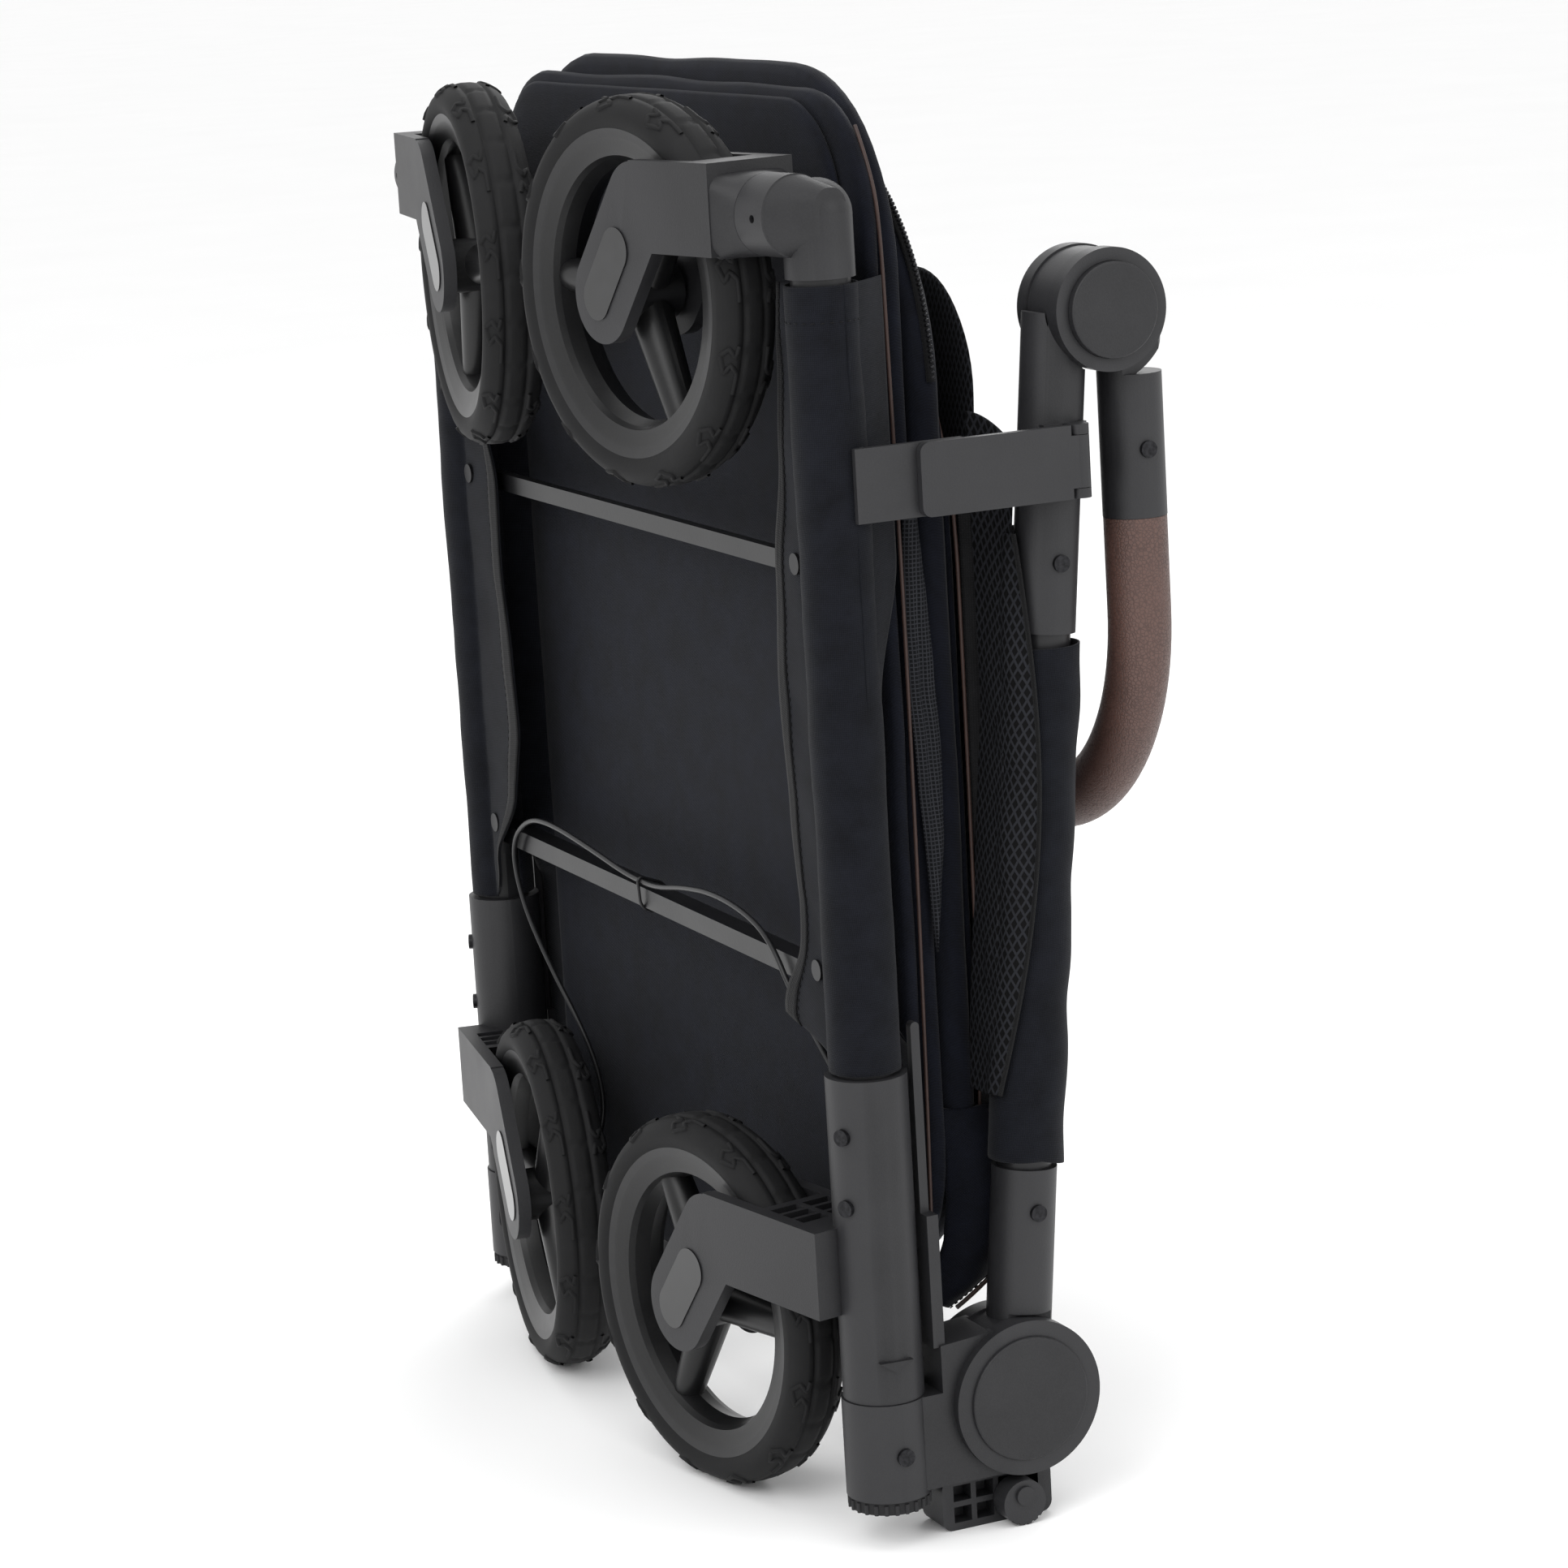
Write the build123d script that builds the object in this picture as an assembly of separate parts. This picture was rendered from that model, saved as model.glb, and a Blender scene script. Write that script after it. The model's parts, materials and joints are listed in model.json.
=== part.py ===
"""Pet stroller, folded flat and standing on end on its rear tyres and stand feet.

Millimetres, +Z up. +X is the stroller's right side. The side tubes stand upright, the wheels are
folded inwards on the -Y side, and the push handle hangs on the +Y side. Every sub-part is drawn with
the side tube axes at y = 0, and the whole set is then moved by Y_SHIFT, which centres it on the origin.
"""

import os
from math import cos, radians, sin

from build123d import *

# Whole object
Y_SHIFT = -57.55

# Side tubes and what slides over them
TUBE_X = 252.0
TUBE_R = 15.0
TUBE_WALL = 1.5
TUBE_Z = (30.0, 668.0)
RUNNING = 0.05
HEM_R = 18.6
HEM_Z = (250.0, 646.0)

# Wheel assemblies, in the side frame: u inwards from the tube axis, n to the outer face, z up
SPLAY = 10.0
TYRE_R = 100.0
TYRE_HALF_WIDTH = 17.0
BEAD_R = 80.0
RIM_LIP_R = 84.0
RIM_INNER_R = 70.0
HUB_R = 15.0
SPOKES = 3
AXLE_R = 4.0
FRONT_WHEEL = (138.5, 13.0, 637.0)
REAR_WHEEL = (137.0, 9.0, 100.0)
ARM_SPAN = 25.5
ARM_THICKNESS = 7.5
ARM_LOW = 23.5
ARM_HIGH = 69.5
ARM_END_R = 24.5
SHOULDER = (-35.0, 44.5)
SLOT_R = 103.5
SWIVEL_Z = FRONT_WHEEL[2] + 43.0
SWIVEL_U = 22.0
SWIVEL_R = 20.5
STEM_R = 7.0
BADGE = (-4.5, 11.5)
BADGE_SIZE = (55.0, 23.0)

# Rear bracket sleeve and end socket
SLEEVE_R = 21.0
SLEEVE_Z = (78.3, 248.0)
SOCKET_R = 22.0
SOCKET_Z = (26.0, 78.0)
CAP_BOTTOM = 19.3

# Lower hinge, where the uprights fold onto the chassis
HINGE_Y = 71.8
HINGE_Z = 67.7
HINGE_R = 41.0
HINGE_CAP_R = 32.9
HINGE_EARS = ((231.0, 241.5), (264.0, 274.5))
HINGE_PIN_R = 6.0

# Uprights: a line in the YZ plane that leans away from the chassis
UPRIGHT_TUBE_R = 14.0
UPRIGHT_SLOPE = 0.0932
UPRIGHT_AT_HINGE_Y = 75.8
LOWER_SLEEVE = (17.0, 109.5, 185.0)
UPPER_SLEEVE = (16.5, 460.0, 617.0)

# Upper hinge, where the handle folds back beside the uprights
DRUM_Y = 147.2
DRUM_Z = 620.7
DRUM_R = 31.0
DRUM_EARS = ((233.0, 242.5), (265.0, 275.3))
BUTTON_R = 24.2
BUTTON_TRAVEL = 4.0

# Handle
HANDLE_Y = 168.0
HANDLE_SLEEVE = (16.5, 513.0, 586.0)
HANDLE_BAR_R = 13.0
GRIP_R = 16.3
GRIP_BEND_Z = 464.0
GRIP_BEND_R = 115.0

# Cross bars, floor and folded fabric
REAR_BAR_Z = 290.0
CROSS_BARS = ((REAR_BAR_Z, 11.0, 12.0, 0.0), (503.0, 10.0, 6.0, 0.0))
FLOOR_TOP = 736.0
FOLD_TOP = 748.0

# Latch on the right side
LATCH_Z = (529.0, 566.0)
LATCH_PIVOT = (274.4, 126.0)
LATCH_EAR_R = 5.2

# Brake
CABLE_R = 1.5
PEDAL_AT = (66.0, 12.2)
PEDAL_R = 12.0


def slab_uz(outline, n_low, n_high):
    """Extrude an outline in the (u, z) plane from n_low to n_high."""
    plane = Plane(origin=(0, n_high, 0), x_dir=(1, 0, 0), z_dir=(0, -1, 0))
    return extrude(plane * outline, amount=n_high - n_low)


def slab_yz(outline, x_low, x_high):
    """Extrude an outline in the (y, z) plane from x_low to x_high."""
    plane = Plane(origin=(x_low, 0, 0), x_dir=(0, 1, 0), z_dir=(1, 0, 0))
    return extrude(plane * outline, amount=x_high - x_low)


def box_between(low, high):
    """A box from its lowest corner to its highest corner."""
    size = [h - l for l, h in zip(low, high)]
    middle = [(h + l) / 2 for l, h in zip(low, high)]
    return Pos(*middle) * Box(*size)


def post(radius, z_low, z_high, x=0.0, y=0.0):
    """An upright cylinder."""
    height = z_high - z_low
    return Pos(x, y, z_low) * Cylinder(radius, height, align=(Align.CENTER, Align.CENTER, Align.MIN))


def rod_x(radius, x_low, x_high, y, z):
    """A cylinder along X."""
    return slab_yz(Pos(y, z) * Circle(radius), x_low, x_high)


def rod_n(radius, n_low, n_high, u, z):
    """A cylinder along n in the side frame."""
    return slab_uz(Pos(u, z) * Circle(radius), n_low, n_high)


def to_right_side(shape):
    """Place a shape drawn in the side frame on the right side tube, with the folded wheel's splay."""
    return Location((TUBE_X, 0, 0), (0, 0, 180 + SPLAY)) * shape


def mirrored(shape):
    """The left-hand copy of a right-hand shape."""
    return mirror(shape, about=Plane.YZ)


def leaning(radius, z_low, z_high, x=TUBE_X):
    """A cylinder along the line of the right upright, between two heights."""
    foot = Vector(x, UPRIGHT_AT_HINGE_Y + UPRIGHT_SLOPE * (z_low - HINGE_Z), z_low)
    head = Vector(x, UPRIGHT_AT_HINGE_Y + UPRIGHT_SLOPE * (z_high - HINGE_Z), z_high)
    return extrude(Plane(origin=foot, z_dir=head - foot) * Circle(radius), amount=(head - foot).length)


# ---------------------------------------------------------------- wheels


def tyre():
    """A moulded foam tyre, revolved about n, with rounded shoulders and a flat running band."""
    w = TYRE_HALF_WIDTH
    flank = [(BEAD_R, 11.0), (RIM_LIP_R, 15.2), (91.0, w), (96.5, w - 3.5), (99.2, w - 8.5), (TYRE_R, 5.5)]
    outline = flank + [(r, -n) for r, n in reversed(flank)]
    return revolve(make_face(Polyline(*outline, close=True)), Axis.Y)


def rim(spoke_start):
    """A deep plastic rim with a flange on each face, three tubular spokes and a bored hub."""
    half = [
        (BEAD_R, 11.0),
        (RIM_LIP_R, 15.2),
        (79.5, 14.2),
        (72.5, 12.2),
        (RIM_INNER_R, 11.4),
        (RIM_INNER_R - 1.5, 8.0),
        (RIM_INNER_R - 4.0, 0.0),
    ]
    outline = half + [(r, -n) for r, n in reversed(half[:-1])]
    body = revolve(make_face(Polyline(*outline, close=True)), Axis.Y)
    body += rod_n(HUB_R, -15.0, 16.0, 0, 0)
    for k in range(SPOKES):
        spoke = Pos(0, 0, 8) * Cone(11.5, 8.5, RIM_INNER_R - 8, align=(Align.CENTER, Align.CENTER, Align.MIN))
        body += Rot(0, 90 - spoke_start - k * 360 / SPOKES, 0) * spoke
    return body - rod_n(AXLE_R + RUNNING, -20, 20, 0, 0)


def arm_outline(u_root):
    """Outline of a wheel arm about its hub: a level band that drops through a shoulder to a round end."""
    slant = Vector(*SHOULDER)
    angle = Vector(1, 0).get_signed_angle(slant, Vector(0, 0, 1))
    drop = Pos(slant.X / 2, slant.Y / 2) * Rot(0, 0, angle) * SlotCenterToCenter(slant.length, 2 * ARM_END_R)
    band_width = SHOULDER[0] - u_root + 2
    band = Pos(u_root + band_width / 2, (ARM_LOW + ARM_HIGH) / 2) * Rectangle(band_width, ARM_HIGH - ARM_LOW)
    return Pos(1.5, 0) * (drop + band)


def badge_outline():
    """Outline of the raised oval plate on an arm, about the hub."""
    slant = Vector(*SHOULDER)
    angle = Vector(1, 0).get_signed_angle(slant, Vector(0, 0, 1))
    return Pos(*BADGE) * Rot(0, 0, angle) * SlotOverall(*BADGE_SIZE)


def wheel_arms(wheel, u_root, web_u):
    """Both arms of one wheel and the web that joins them outside the tyre, in the side frame."""
    u, n, z = wheel
    outline = Pos(u, z) * arm_outline(u_root - u)
    block = slab_uz(outline, n - ARM_SPAN, n + ARM_SPAN)
    gap = ARM_SPAN - ARM_THICKNESS
    past_web = box_between((web_u, n - gap, z - 60), (u + 60, n + gap, z + 110))
    tyre_room = rod_n(SLOT_R, n - gap, n + gap, u, z)
    block -= past_web + tyre_room
    face = n + ARM_SPAN
    block -= slab_uz(Pos(u, z) * badge_outline(), face - 1.2, face + 1)
    return block - rod_n(AXLE_R, n - ARM_SPAN - 1, n + ARM_SPAN - 3, u, z)


def badge(wheel):
    """The glossy oval plate that covers the axle end."""
    u, n, z = wheel
    face = n + ARM_SPAN
    plate = slab_uz(Pos(u, z) * badge_outline(), face - 1.2, face + 0.8)
    return plate


def axle(wheel):
    """A steel axle with the two spacer washers that centre the hub between the arms."""
    u, n, z = wheel
    gap = ARM_SPAN - ARM_THICKNESS
    shaft = rod_n(AXLE_R, n - ARM_SPAN + 0.5, n + ARM_SPAN - 3, u, z)
    inner_washer = rod_n(9.0, n - gap, n - 15.3, u, z)
    outer_washer = rod_n(11.0, n + 16.3, n + gap, u, z)
    return shaft + inner_washer + outer_washer


def fork():
    """Front fork: crown and stem on the swivel axis, and two arms that trail to the axle."""
    u, n, z = FRONT_WHEEL
    body = wheel_arms(FRONT_WHEEL, SWIVEL_U + 13, 60)
    along_u = Plane(origin=(SWIVEL_U + 0.3, n, SWIVEL_Z), x_dir=(0, 1, 0), z_dir=(1, 0, 0))
    round_face = along_u * Circle(SWIVEL_R)
    wide_face = along_u.offset(16) * RectangleRounded(2 * ARM_SPAN, ARM_HIGH - ARM_LOW - 3.4, 9)
    crown = loft(Sketch() + [round_face, wide_face])
    body += crown - rod_n(SLOT_R, n - 18, n + 18, u, z)
    return body + extrude(along_u * Circle(STEM_R), amount=-17)


def elbow():
    """Front elbow: a socket on the side tube and a level limb that carries the swivel stem."""
    n = FRONT_WHEEL[1]
    upright = post(17.4, 649, SWIVEL_Z)
    top_joint = Pos(0, 0, SWIVEL_Z) * Sphere(17.4)
    limb_plane = Plane(origin=(SWIVEL_U, n, SWIVEL_Z), x_dir=(0, 1, 0), z_dir=(-1, 0, 0))
    limb = extrude(limb_plane * Circle(SWIVEL_R), amount=SWIVEL_U + 1)
    shoulder = loft(
        Sketch()
        + [
            limb_plane.offset(SWIVEL_U) * Circle(SWIVEL_R),
            Plane(origin=(-15, 2, SWIVEL_Z), x_dir=(0, 1, 0), z_dir=(-1, 0, 0)) * RectangleRounded(18, 26, 8),
        ]
    )
    body = upright + top_joint + limb + shoulder
    body -= post(TUBE_R, 640, TUBE_Z[1])
    body -= extrude(limb_plane * Circle(STEM_R + RUNNING), amount=18)
    pin_hole = rod_n(2.0, n + 10, n + 30, 7.0, SWIVEL_Z)
    return body - pin_hole


def rear_bracket():
    """Rear bracket: a long sleeve on the side tube, a ribbed box and the two arms of the rear wheel."""
    u, n, z = REAR_WHEEL
    sleeve = post(SLEEVE_R, *SLEEVE_Z)
    arms = wheel_arms(REAR_WHEEL, 2, 62)
    low, high = z + ARM_LOW, z + ARM_HIGH
    gap = ARM_SPAN - ARM_THICKNESS
    for k in range(3):
        start = SLEEVE_R + 3 + 11 * k
        arms -= box_between((start, n - gap, low + 12), (start + 8, n - 2, high + 5))
        arms -= box_between((start, n + 2, low + 12), (start + 8, n + gap, high + 5))
    body = arms + sleeve
    arrow = Polyline((-9, SLEEVE_Z[0] + 23), (9, SLEEVE_Z[0] + 23), (0, SLEEVE_Z[0] + 17), close=True)
    body += Rot(0, 0, 75) * slab_uz(make_face(arrow), 18, SLEEVE_R + 1.6)
    body -= post(TUBE_R, SLEEVE_Z[0] - 1, SLEEVE_Z[1] + 1)
    return body


def bracket_rivets():
    """Two domed rivets that hold the bracket sleeve to the tube, on the face beside the arms."""
    row = []
    for z in (219.0, 182.0):
        head = rod_n(4.4, SLEEVE_R - 0.4, SLEEVE_R + 2.0, 0, z)
        row.append(Rot(0, 0, 16) * (head - post(SLEEVE_R, z - 6, z + 6)))
    return Compound(children=row)


def side_tube():
    """A side tube, an aluminium tube that turns in the end socket with the wheels of its side."""
    return post(TUBE_R, *TUBE_Z) - post(TUBE_R - TUBE_WALL, TUBE_Z[0] - 1, TUBE_Z[1] + 1)


# ---------------------------------------------------------------- chassis


def end_socket():
    """Right end socket: the tube's bearing, the lug, the two hinge ears and the side rail."""
    cup = post(SOCKET_R, SOCKET_Z[0], SOCKET_Z[1], TUBE_X)
    lug_outline = Polyline(
        (6, 28),
        (52, 28),
        (HINGE_Y, HINGE_Z - HINGE_R + 0.6),
        (HINGE_Y, HINGE_Z + HINGE_R - 2),
        (25.2, 103),
        (25.2, 77.9),
        (6, 77.9),
        close=True,
    )
    lug = slab_yz(make_face(lug_outline), 238, 269.5)
    ears = rod_x(HINGE_R, *HINGE_EARS[0], HINGE_Y, HINGE_Z) + rod_x(HINGE_R, *HINGE_EARS[1], HINGE_Y, HINGE_Z)
    rail_outline = Pos(25.2, 137) * Rectangle(6.4, 70)
    rail_tip = Pos(24.4, 216) * SlotOverall(112, 4.8, rotation=90)
    rail = slab_yz(rail_outline, 250, 268) + slab_yz(rail_tip, 256, 261)
    body = cup + lug + rail
    body -= rod_x(HINGE_R + 0.6, HINGE_EARS[0][1], HINGE_EARS[1][0], HINGE_Y, HINGE_Z)
    body += ears
    body -= post(TUBE_R + RUNNING, TUBE_Z[0] - 0.5, SOCKET_Z[1] + 1, TUBE_X)
    body -= rod_x(HINGE_PIN_R, HINGE_EARS[0][0] - 1, HINGE_EARS[1][1] + 1, HINGE_Y, HINGE_Z)
    return body


def hinge_pin():
    """Shouldered steel pin of the lower hinge."""
    return rod_x(HINGE_PIN_R, HINGE_EARS[0][0], HINGE_EARS[1][1], HINGE_Y, HINGE_Z)


def hinge_cap():
    """Round cover on the outer ear of the lower hinge."""
    cap = rod_x(HINGE_CAP_R, HINGE_EARS[1][1], HINGE_EARS[1][1] + 2.2, HINGE_Y, HINGE_Z)
    return fillet(cap.faces().sort_by(Axis.X)[-1].edges(), 1.2)


def socket_cap():
    """Ribbed rubber cap under the end socket."""
    cap = post(20.5, CAP_BOTTOM, SOCKET_Z[0], TUBE_X)
    for k in range(24):
        rib = post(1.2, CAP_BOTTOM, SOCKET_Z[0] - 1.5, 20.5)
        cap += Pos(TUBE_X, 0, 0) * Rot(0, 0, 15 * k) * rib
    return cap


def socket_rivet():
    """Domed rivet through the end socket, facing outwards."""
    return rod_x(4.6, TUBE_X + SOCKET_R - 0.6, TUBE_X + SOCKET_R + 1.8, 0, 50) - post(
        SOCKET_R, 40, 60, TUBE_X
    )


def stand_foot():
    """Ribbed foot under the lower hinge, which the folded stroller stands on with its rear tyres."""
    outline = Pos(56.5, 14.0) * RectangleRounded(63, 28, 6)
    foot = slab_yz(outline, 238, 262)
    foot -= box_between((230, 50, 25.6), (270, 95, 40))
    for row in range(2):
        for column in range(4):
            y = 31.5 + 13 * column
            z = 4.0 + 11.5 * row
            foot -= box_between((252, y, z), (263, y + 10, z + 8.5))
    return foot


def brake_pedal():
    """Rocking foot pedal of the brake, on the outer side of the right stand foot."""
    y, z = PEDAL_AT
    pad = rod_x(PEDAL_R, 262.6, 275.0, y, z)
    for k in range(-2, 3):
        pad -= rod_x(0.8, 262, 276, y + PEDAL_R * sin(radians(20 * k)), z - PEDAL_R * cos(radians(20 * k)))
    return pad - rod_x(3.0 + RUNNING, 262, 276, y, z + 4)


def pedal_pin():
    """Moulded pin on the right stand foot that the brake pedal rocks on."""
    y, z = PEDAL_AT
    return rod_x(3.0, 258, 276, y, z + 4) + rod_x(5.0, 275.3, 276.8, y, z + 4)


def cross_bar(z, height, depth, y):
    """A cross bar at a height, with its height and depth, and a bearing collar on each side tube."""
    reach = TUBE_X - TUBE_R - 1
    bar = Pos(0, y, z) * Box(2 * reach, depth, height)
    for x in (-TUBE_X, TUBE_X):
        bar += post(17.3, z - 14, z + 14, x)
        bar -= post(TUBE_R + RUNNING, z - 15, z + 15, x)
    return bar


def tube_hem(latch_window):
    """Right fabric hem: a sewn sleeve round the side tube with a flap that reaches inwards."""
    z0, z1 = HEM_Z
    sleeve = post(HEM_R, z0, z1, TUBE_X) - post(HEM_R - 1, z0 - 1, z1 + 1, TUBE_X)
    flap_low = box_between((TUBE_X - 42, -10.2, 262), (TUBE_X - 14, -8.8, 528))
    flap_high = box_between((TUBE_X - 30, -10.2, 528), (TUBE_X - 14, -8.8, z1))
    hem = sleeve + flap_low + flap_high - post(HEM_R - 1, z0 - 1, z1 + 1, TUBE_X)
    for z, height, depth, y in CROSS_BARS:
        slit = (depth / 2 + 0.5, height / 2 + 0.5)
        hem -= box_between((TUBE_X - 22, y - slit[0], z - slit[1]), (TUBE_X - 10, y + slit[0], z + slit[1]))
    if latch_window:
        hem -= box_between((TUBE_X + 4, -6, LATCH_Z[0] - 3), (TUBE_X + 30, 30, LATCH_Z[1] + 3))
    return hem


def snaps():
    """Four press studs that fasten the hem flaps."""
    row = []
    for x, z in ((TUBE_X - 24, 506), (TUBE_X - 26, 297.5)):
        for side in (1, -1):
            stud = Pos(side * x, -10.2, z) * Rot(90, 0, 0) * Cylinder(
                5.5, 2.2, align=(Align.CENTER, Align.CENTER, Align.MIN)
            )
            row.append(stud)
    return Compound(children=row)


def rounded_panel(half_width, z_low, z_high, radius, y_low, y_high):
    """An upright panel in the XZ plane with rounded corners."""
    plane = Plane(origin=(0, y_high, (z_low + z_high) / 2), x_dir=(1, 0, 0), z_dir=(0, -1, 0))
    outline = plane * RectangleRounded(2 * half_width, z_high - z_low, radius)
    return extrude(outline, amount=y_high - y_low)


def cabin_walls():
    """The folded cabin walls, a closed stand-in with the true outline of the folded pack."""
    outline = Polyline(
        (28.2, 92),
        (28.2, FOLD_TOP),
        (40, FOLD_TOP - 2),
        (54, 722),
        (54, 92),
        close=True,
    )
    pack = slab_yz(make_face(outline), -241, 241)
    cutter = rounded_panel(241, 92, FOLD_TOP, 55, 20, 60)
    return pack & cutter


def canopy_roll():
    """The folded canopy and padded rim behind the cabin walls."""
    outline = Polyline(
        (54.4, 104),
        (54.4, 708),
        (72, 690),
        (86, 655),
        (80, 500),
        (76, 104),
        close=True,
    )
    pack = slab_yz(make_face(outline), -232, 232)
    cutter = rounded_panel(232, 104, 712, 55, 50, 110)
    return pack & cutter


def brake_cable():
    """Brake cable sheath: from the left rear wheel's inner arm, over the rear cross bar, into the right hem."""
    route = [
        (-137.0, 0.8, 111.5),
        (-146.0, 9.6, 118.0),
        (-155.0, 17.5, 134.0),
        (-162.0, 17.5, 156.0),
        (-174.0, 13.5, 180.0),
        (-195.0, 4.5, 214.0),
        (-207.0, -5.5, 252.0),
        (-205.0, -10.5, 288.0),
        (-176.0, -10.5, 308.0),
        (-138.0, -10.5, 311.6),
        (-80.0, -10.0, 315.5),
        (-20.0, -10.0, 317.5),
        (40.0, -10.0, 318.5),
        (96.0, -10.0, 317.0),
        (140.0, -9.5, 311.0),
        (166.0, -9.5, 299.0),
        (185.0, -8.5, 277.0),
        (199.0, 0.0, 250.0),
        (207.0, 12.0, 218.0),
    ]
    points = [Vector(*p) for p in route]
    radii = []
    for before, here, after in zip(points, points[1:], points[2:]):
        into, out = here - before, after - here
        turn = into.get_angle(out)
        radii.append(0.45 * min(into.length, out.length) / abs(sin(radians(turn / 2)) / cos(radians(turn / 2))))
    print("brake cable bend radii", [round(r) for r in radii])
    path = FilletPolyline(*points, radius=radii)
    start = Plane(origin=points[0], z_dir=points[1] - points[0])
    sheath = sweep(start * Circle(CABLE_R), path=path)
    expected = 3.14159265 * CABLE_R**2 * path.length
    print("brake cable length", round(path.length, 1), "volume ratio", round(sheath.volume / expected, 4))
    return sheath


def cable_tie():
    """Cable tie that holds the sheath to the rear cross bar."""
    outline = Pos(-2.8, REAR_BAR_Z + 12) * (RectangleRounded(21.4, 38.4, 3) - RectangleRounded(19.4, 36.4, 2))
    return slab_yz(outline, -16, -13)


def latch_catch():
    """Catch plate on a collar round the right side tube."""
    z0, z1 = LATCH_Z
    collar = post(17.3, z0, z1, TUBE_X)
    neck = box_between((TUBE_X + 8, 3, z0), (TUBE_X + 22, 10, z1))
    plate = box_between((TUBE_X + 18, 3, z0), (TUBE_X + 22, 62, z1))
    plate -= box_between((TUBE_X + 17, 43, z0 + 9), (TUBE_X + 23, 52, z1 - 9))
    return collar + neck + plate - post(TUBE_R + RUNNING, z0 - 1, z1 + 1, TUBE_X)


# ---------------------------------------------------------------- uprights


def knuckle(centre_y, centre_z, radius, x_low, x_high, pin_r):
    """The middle disc of a hinge, bored for its pin."""
    disc = rod_x(radius, x_low, x_high, centre_y, centre_z)
    return disc - rod_x(pin_r + RUNNING, x_low - 1, x_high + 1, centre_y, centre_z)


def upright_knuckle():
    """Lower sleeve of the right upright with the middle disc of the lower hinge."""
    radius, z0, z1 = LOWER_SLEEVE
    x_low, x_high = HINGE_EARS[0][1] + 0.3, HINGE_EARS[1][0] - 0.3
    body = knuckle(HINGE_Y, HINGE_Z, HINGE_R - 1, x_low, x_high, HINGE_PIN_R)
    neck = leaning(radius, 90, z0 + 2) & box_between((x_low, 50, 80), (x_high, 120, z0 + 2))
    body += neck - rod_x(HINGE_PIN_R + 2, x_low, x_high, HINGE_Y, HINGE_Z)
    body += leaning(radius, z0, z1)
    return body - leaning(UPRIGHT_TUBE_R, z0 + 6, z1 + 1)


def upright_tube():
    """Aluminium tube of the right upright."""
    z0, z1 = LOWER_SLEEVE[1] + 6, UPPER_SLEEVE[2] - 30
    return leaning(UPRIGHT_TUBE_R, z0, z1) - leaning(UPRIGHT_TUBE_R - TUBE_WALL, z0 - 1, z1 + 1)


def drum():
    """Upper sleeve of the right upright with the two ears of the handle hinge."""
    radius, z0, z1 = UPPER_SLEEVE
    (a0, a1), (b0, b1) = DRUM_EARS
    body = leaning(radius, z0, z1) - rod_x(DRUM_R + 0.4, a0 - 9, b1 + 9, DRUM_Y, DRUM_Z)
    bridge = leaning(radius, z1 - 34, z1 + 3) & box_between((a0, 90, 560), (b1, DRUM_Y, 640))
    bridge -= rod_x(DRUM_R + 0.4, a1, b0, DRUM_Y, DRUM_Z)
    body += bridge
    body += rod_x(DRUM_R, a0, a1, DRUM_Y, DRUM_Z) + rod_x(DRUM_R, b0, b1, DRUM_Y, DRUM_Z)
    body += rod_x(7.0, a1, b0, DRUM_Y, DRUM_Z)
    body -= rod_x(BUTTON_R + 0.2, b1 - 2.5 - BUTTON_TRAVEL, b1 + 1, DRUM_Y, DRUM_Z)
    return body - leaning(UPRIGHT_TUBE_R, z0 - 1, z1 - 30)


def hinge_button():
    """Release button in the outer ear of the right handle hinge."""
    start = DRUM_EARS[1][1] - 1.6
    cap = rod_x(BUTTON_R, start, 279.7, DRUM_Y, DRUM_Z)
    return fillet(cap.faces().sort_by(Axis.X)[-1].edges(), 1.2)


def sleeve_rivet(sleeve, y, z, radius):
    """Domed rivet on the outer face of a sleeve, seated on the sleeve's round."""
    return rod_x(4.4, TUBE_X + radius - 0.6, TUBE_X + radius + 1.8, y, z) - sleeve


def upright_y(z):
    """Y of the upright's axis at a height."""
    return UPRIGHT_AT_HINGE_Y + UPRIGHT_SLOPE * (z - HINGE_Z)


def upright_cover():
    """Fabric back panel between the uprights, with a hem round each upright tube."""
    z0, z1 = 192.0, 452.0
    inner = leaning(17.6, z0 - 1, z1 + 1)
    outer = leaning(18.8, z0, z1)
    lean = [(upright_y(z) - 8.5, z) for z in (z0, z1)] + [(upright_y(z) - 5.5, z) for z in (z1, z0)]
    panel = slab_yz(make_face(Polyline(*lean, close=True)), -TUBE_X + 8, TUBE_X - 8)
    cover = panel + outer + mirrored(outer)
    return cover - inner - mirrored(inner)


def mesh_pocket():
    """Honeycomb mesh pocket hung between the folded canopy and the back panel."""
    low, high = 220.0, 640.0
    face = [(upright_y(low) - 9.5, low), (upright_y(448) - 9.5, 448), (upright_y(448) - 9.5, 560), (104, high)]
    back = [(96, high), (94, 560), (86, 448), (80.5, 300), (78, low)]
    return slab_yz(make_face(Polyline(*face, *back, close=True)), -222, 222)


def latch_clamp():
    """Clamp block on the right upright that carries the latch lever's pin."""
    z0, z1 = LATCH_Z
    x, y = LATCH_PIVOT
    block = box_between((TUBE_X + 6, y - 16, z0), (x - 6.2, y + 8, z1))
    for low, high in ((z0, z0 + 5), (z1 - 5, z1)):
        block += box_between((x - 8, y - LATCH_EAR_R, low), (x, y + LATCH_EAR_R, high))
        block += post(LATCH_EAR_R, low, high, x, y)
    block += post(2.5, z0, z1, x, y)
    return block - leaning(UPPER_SLEEVE[0], z0 - 12, z1 + 12)


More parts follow.
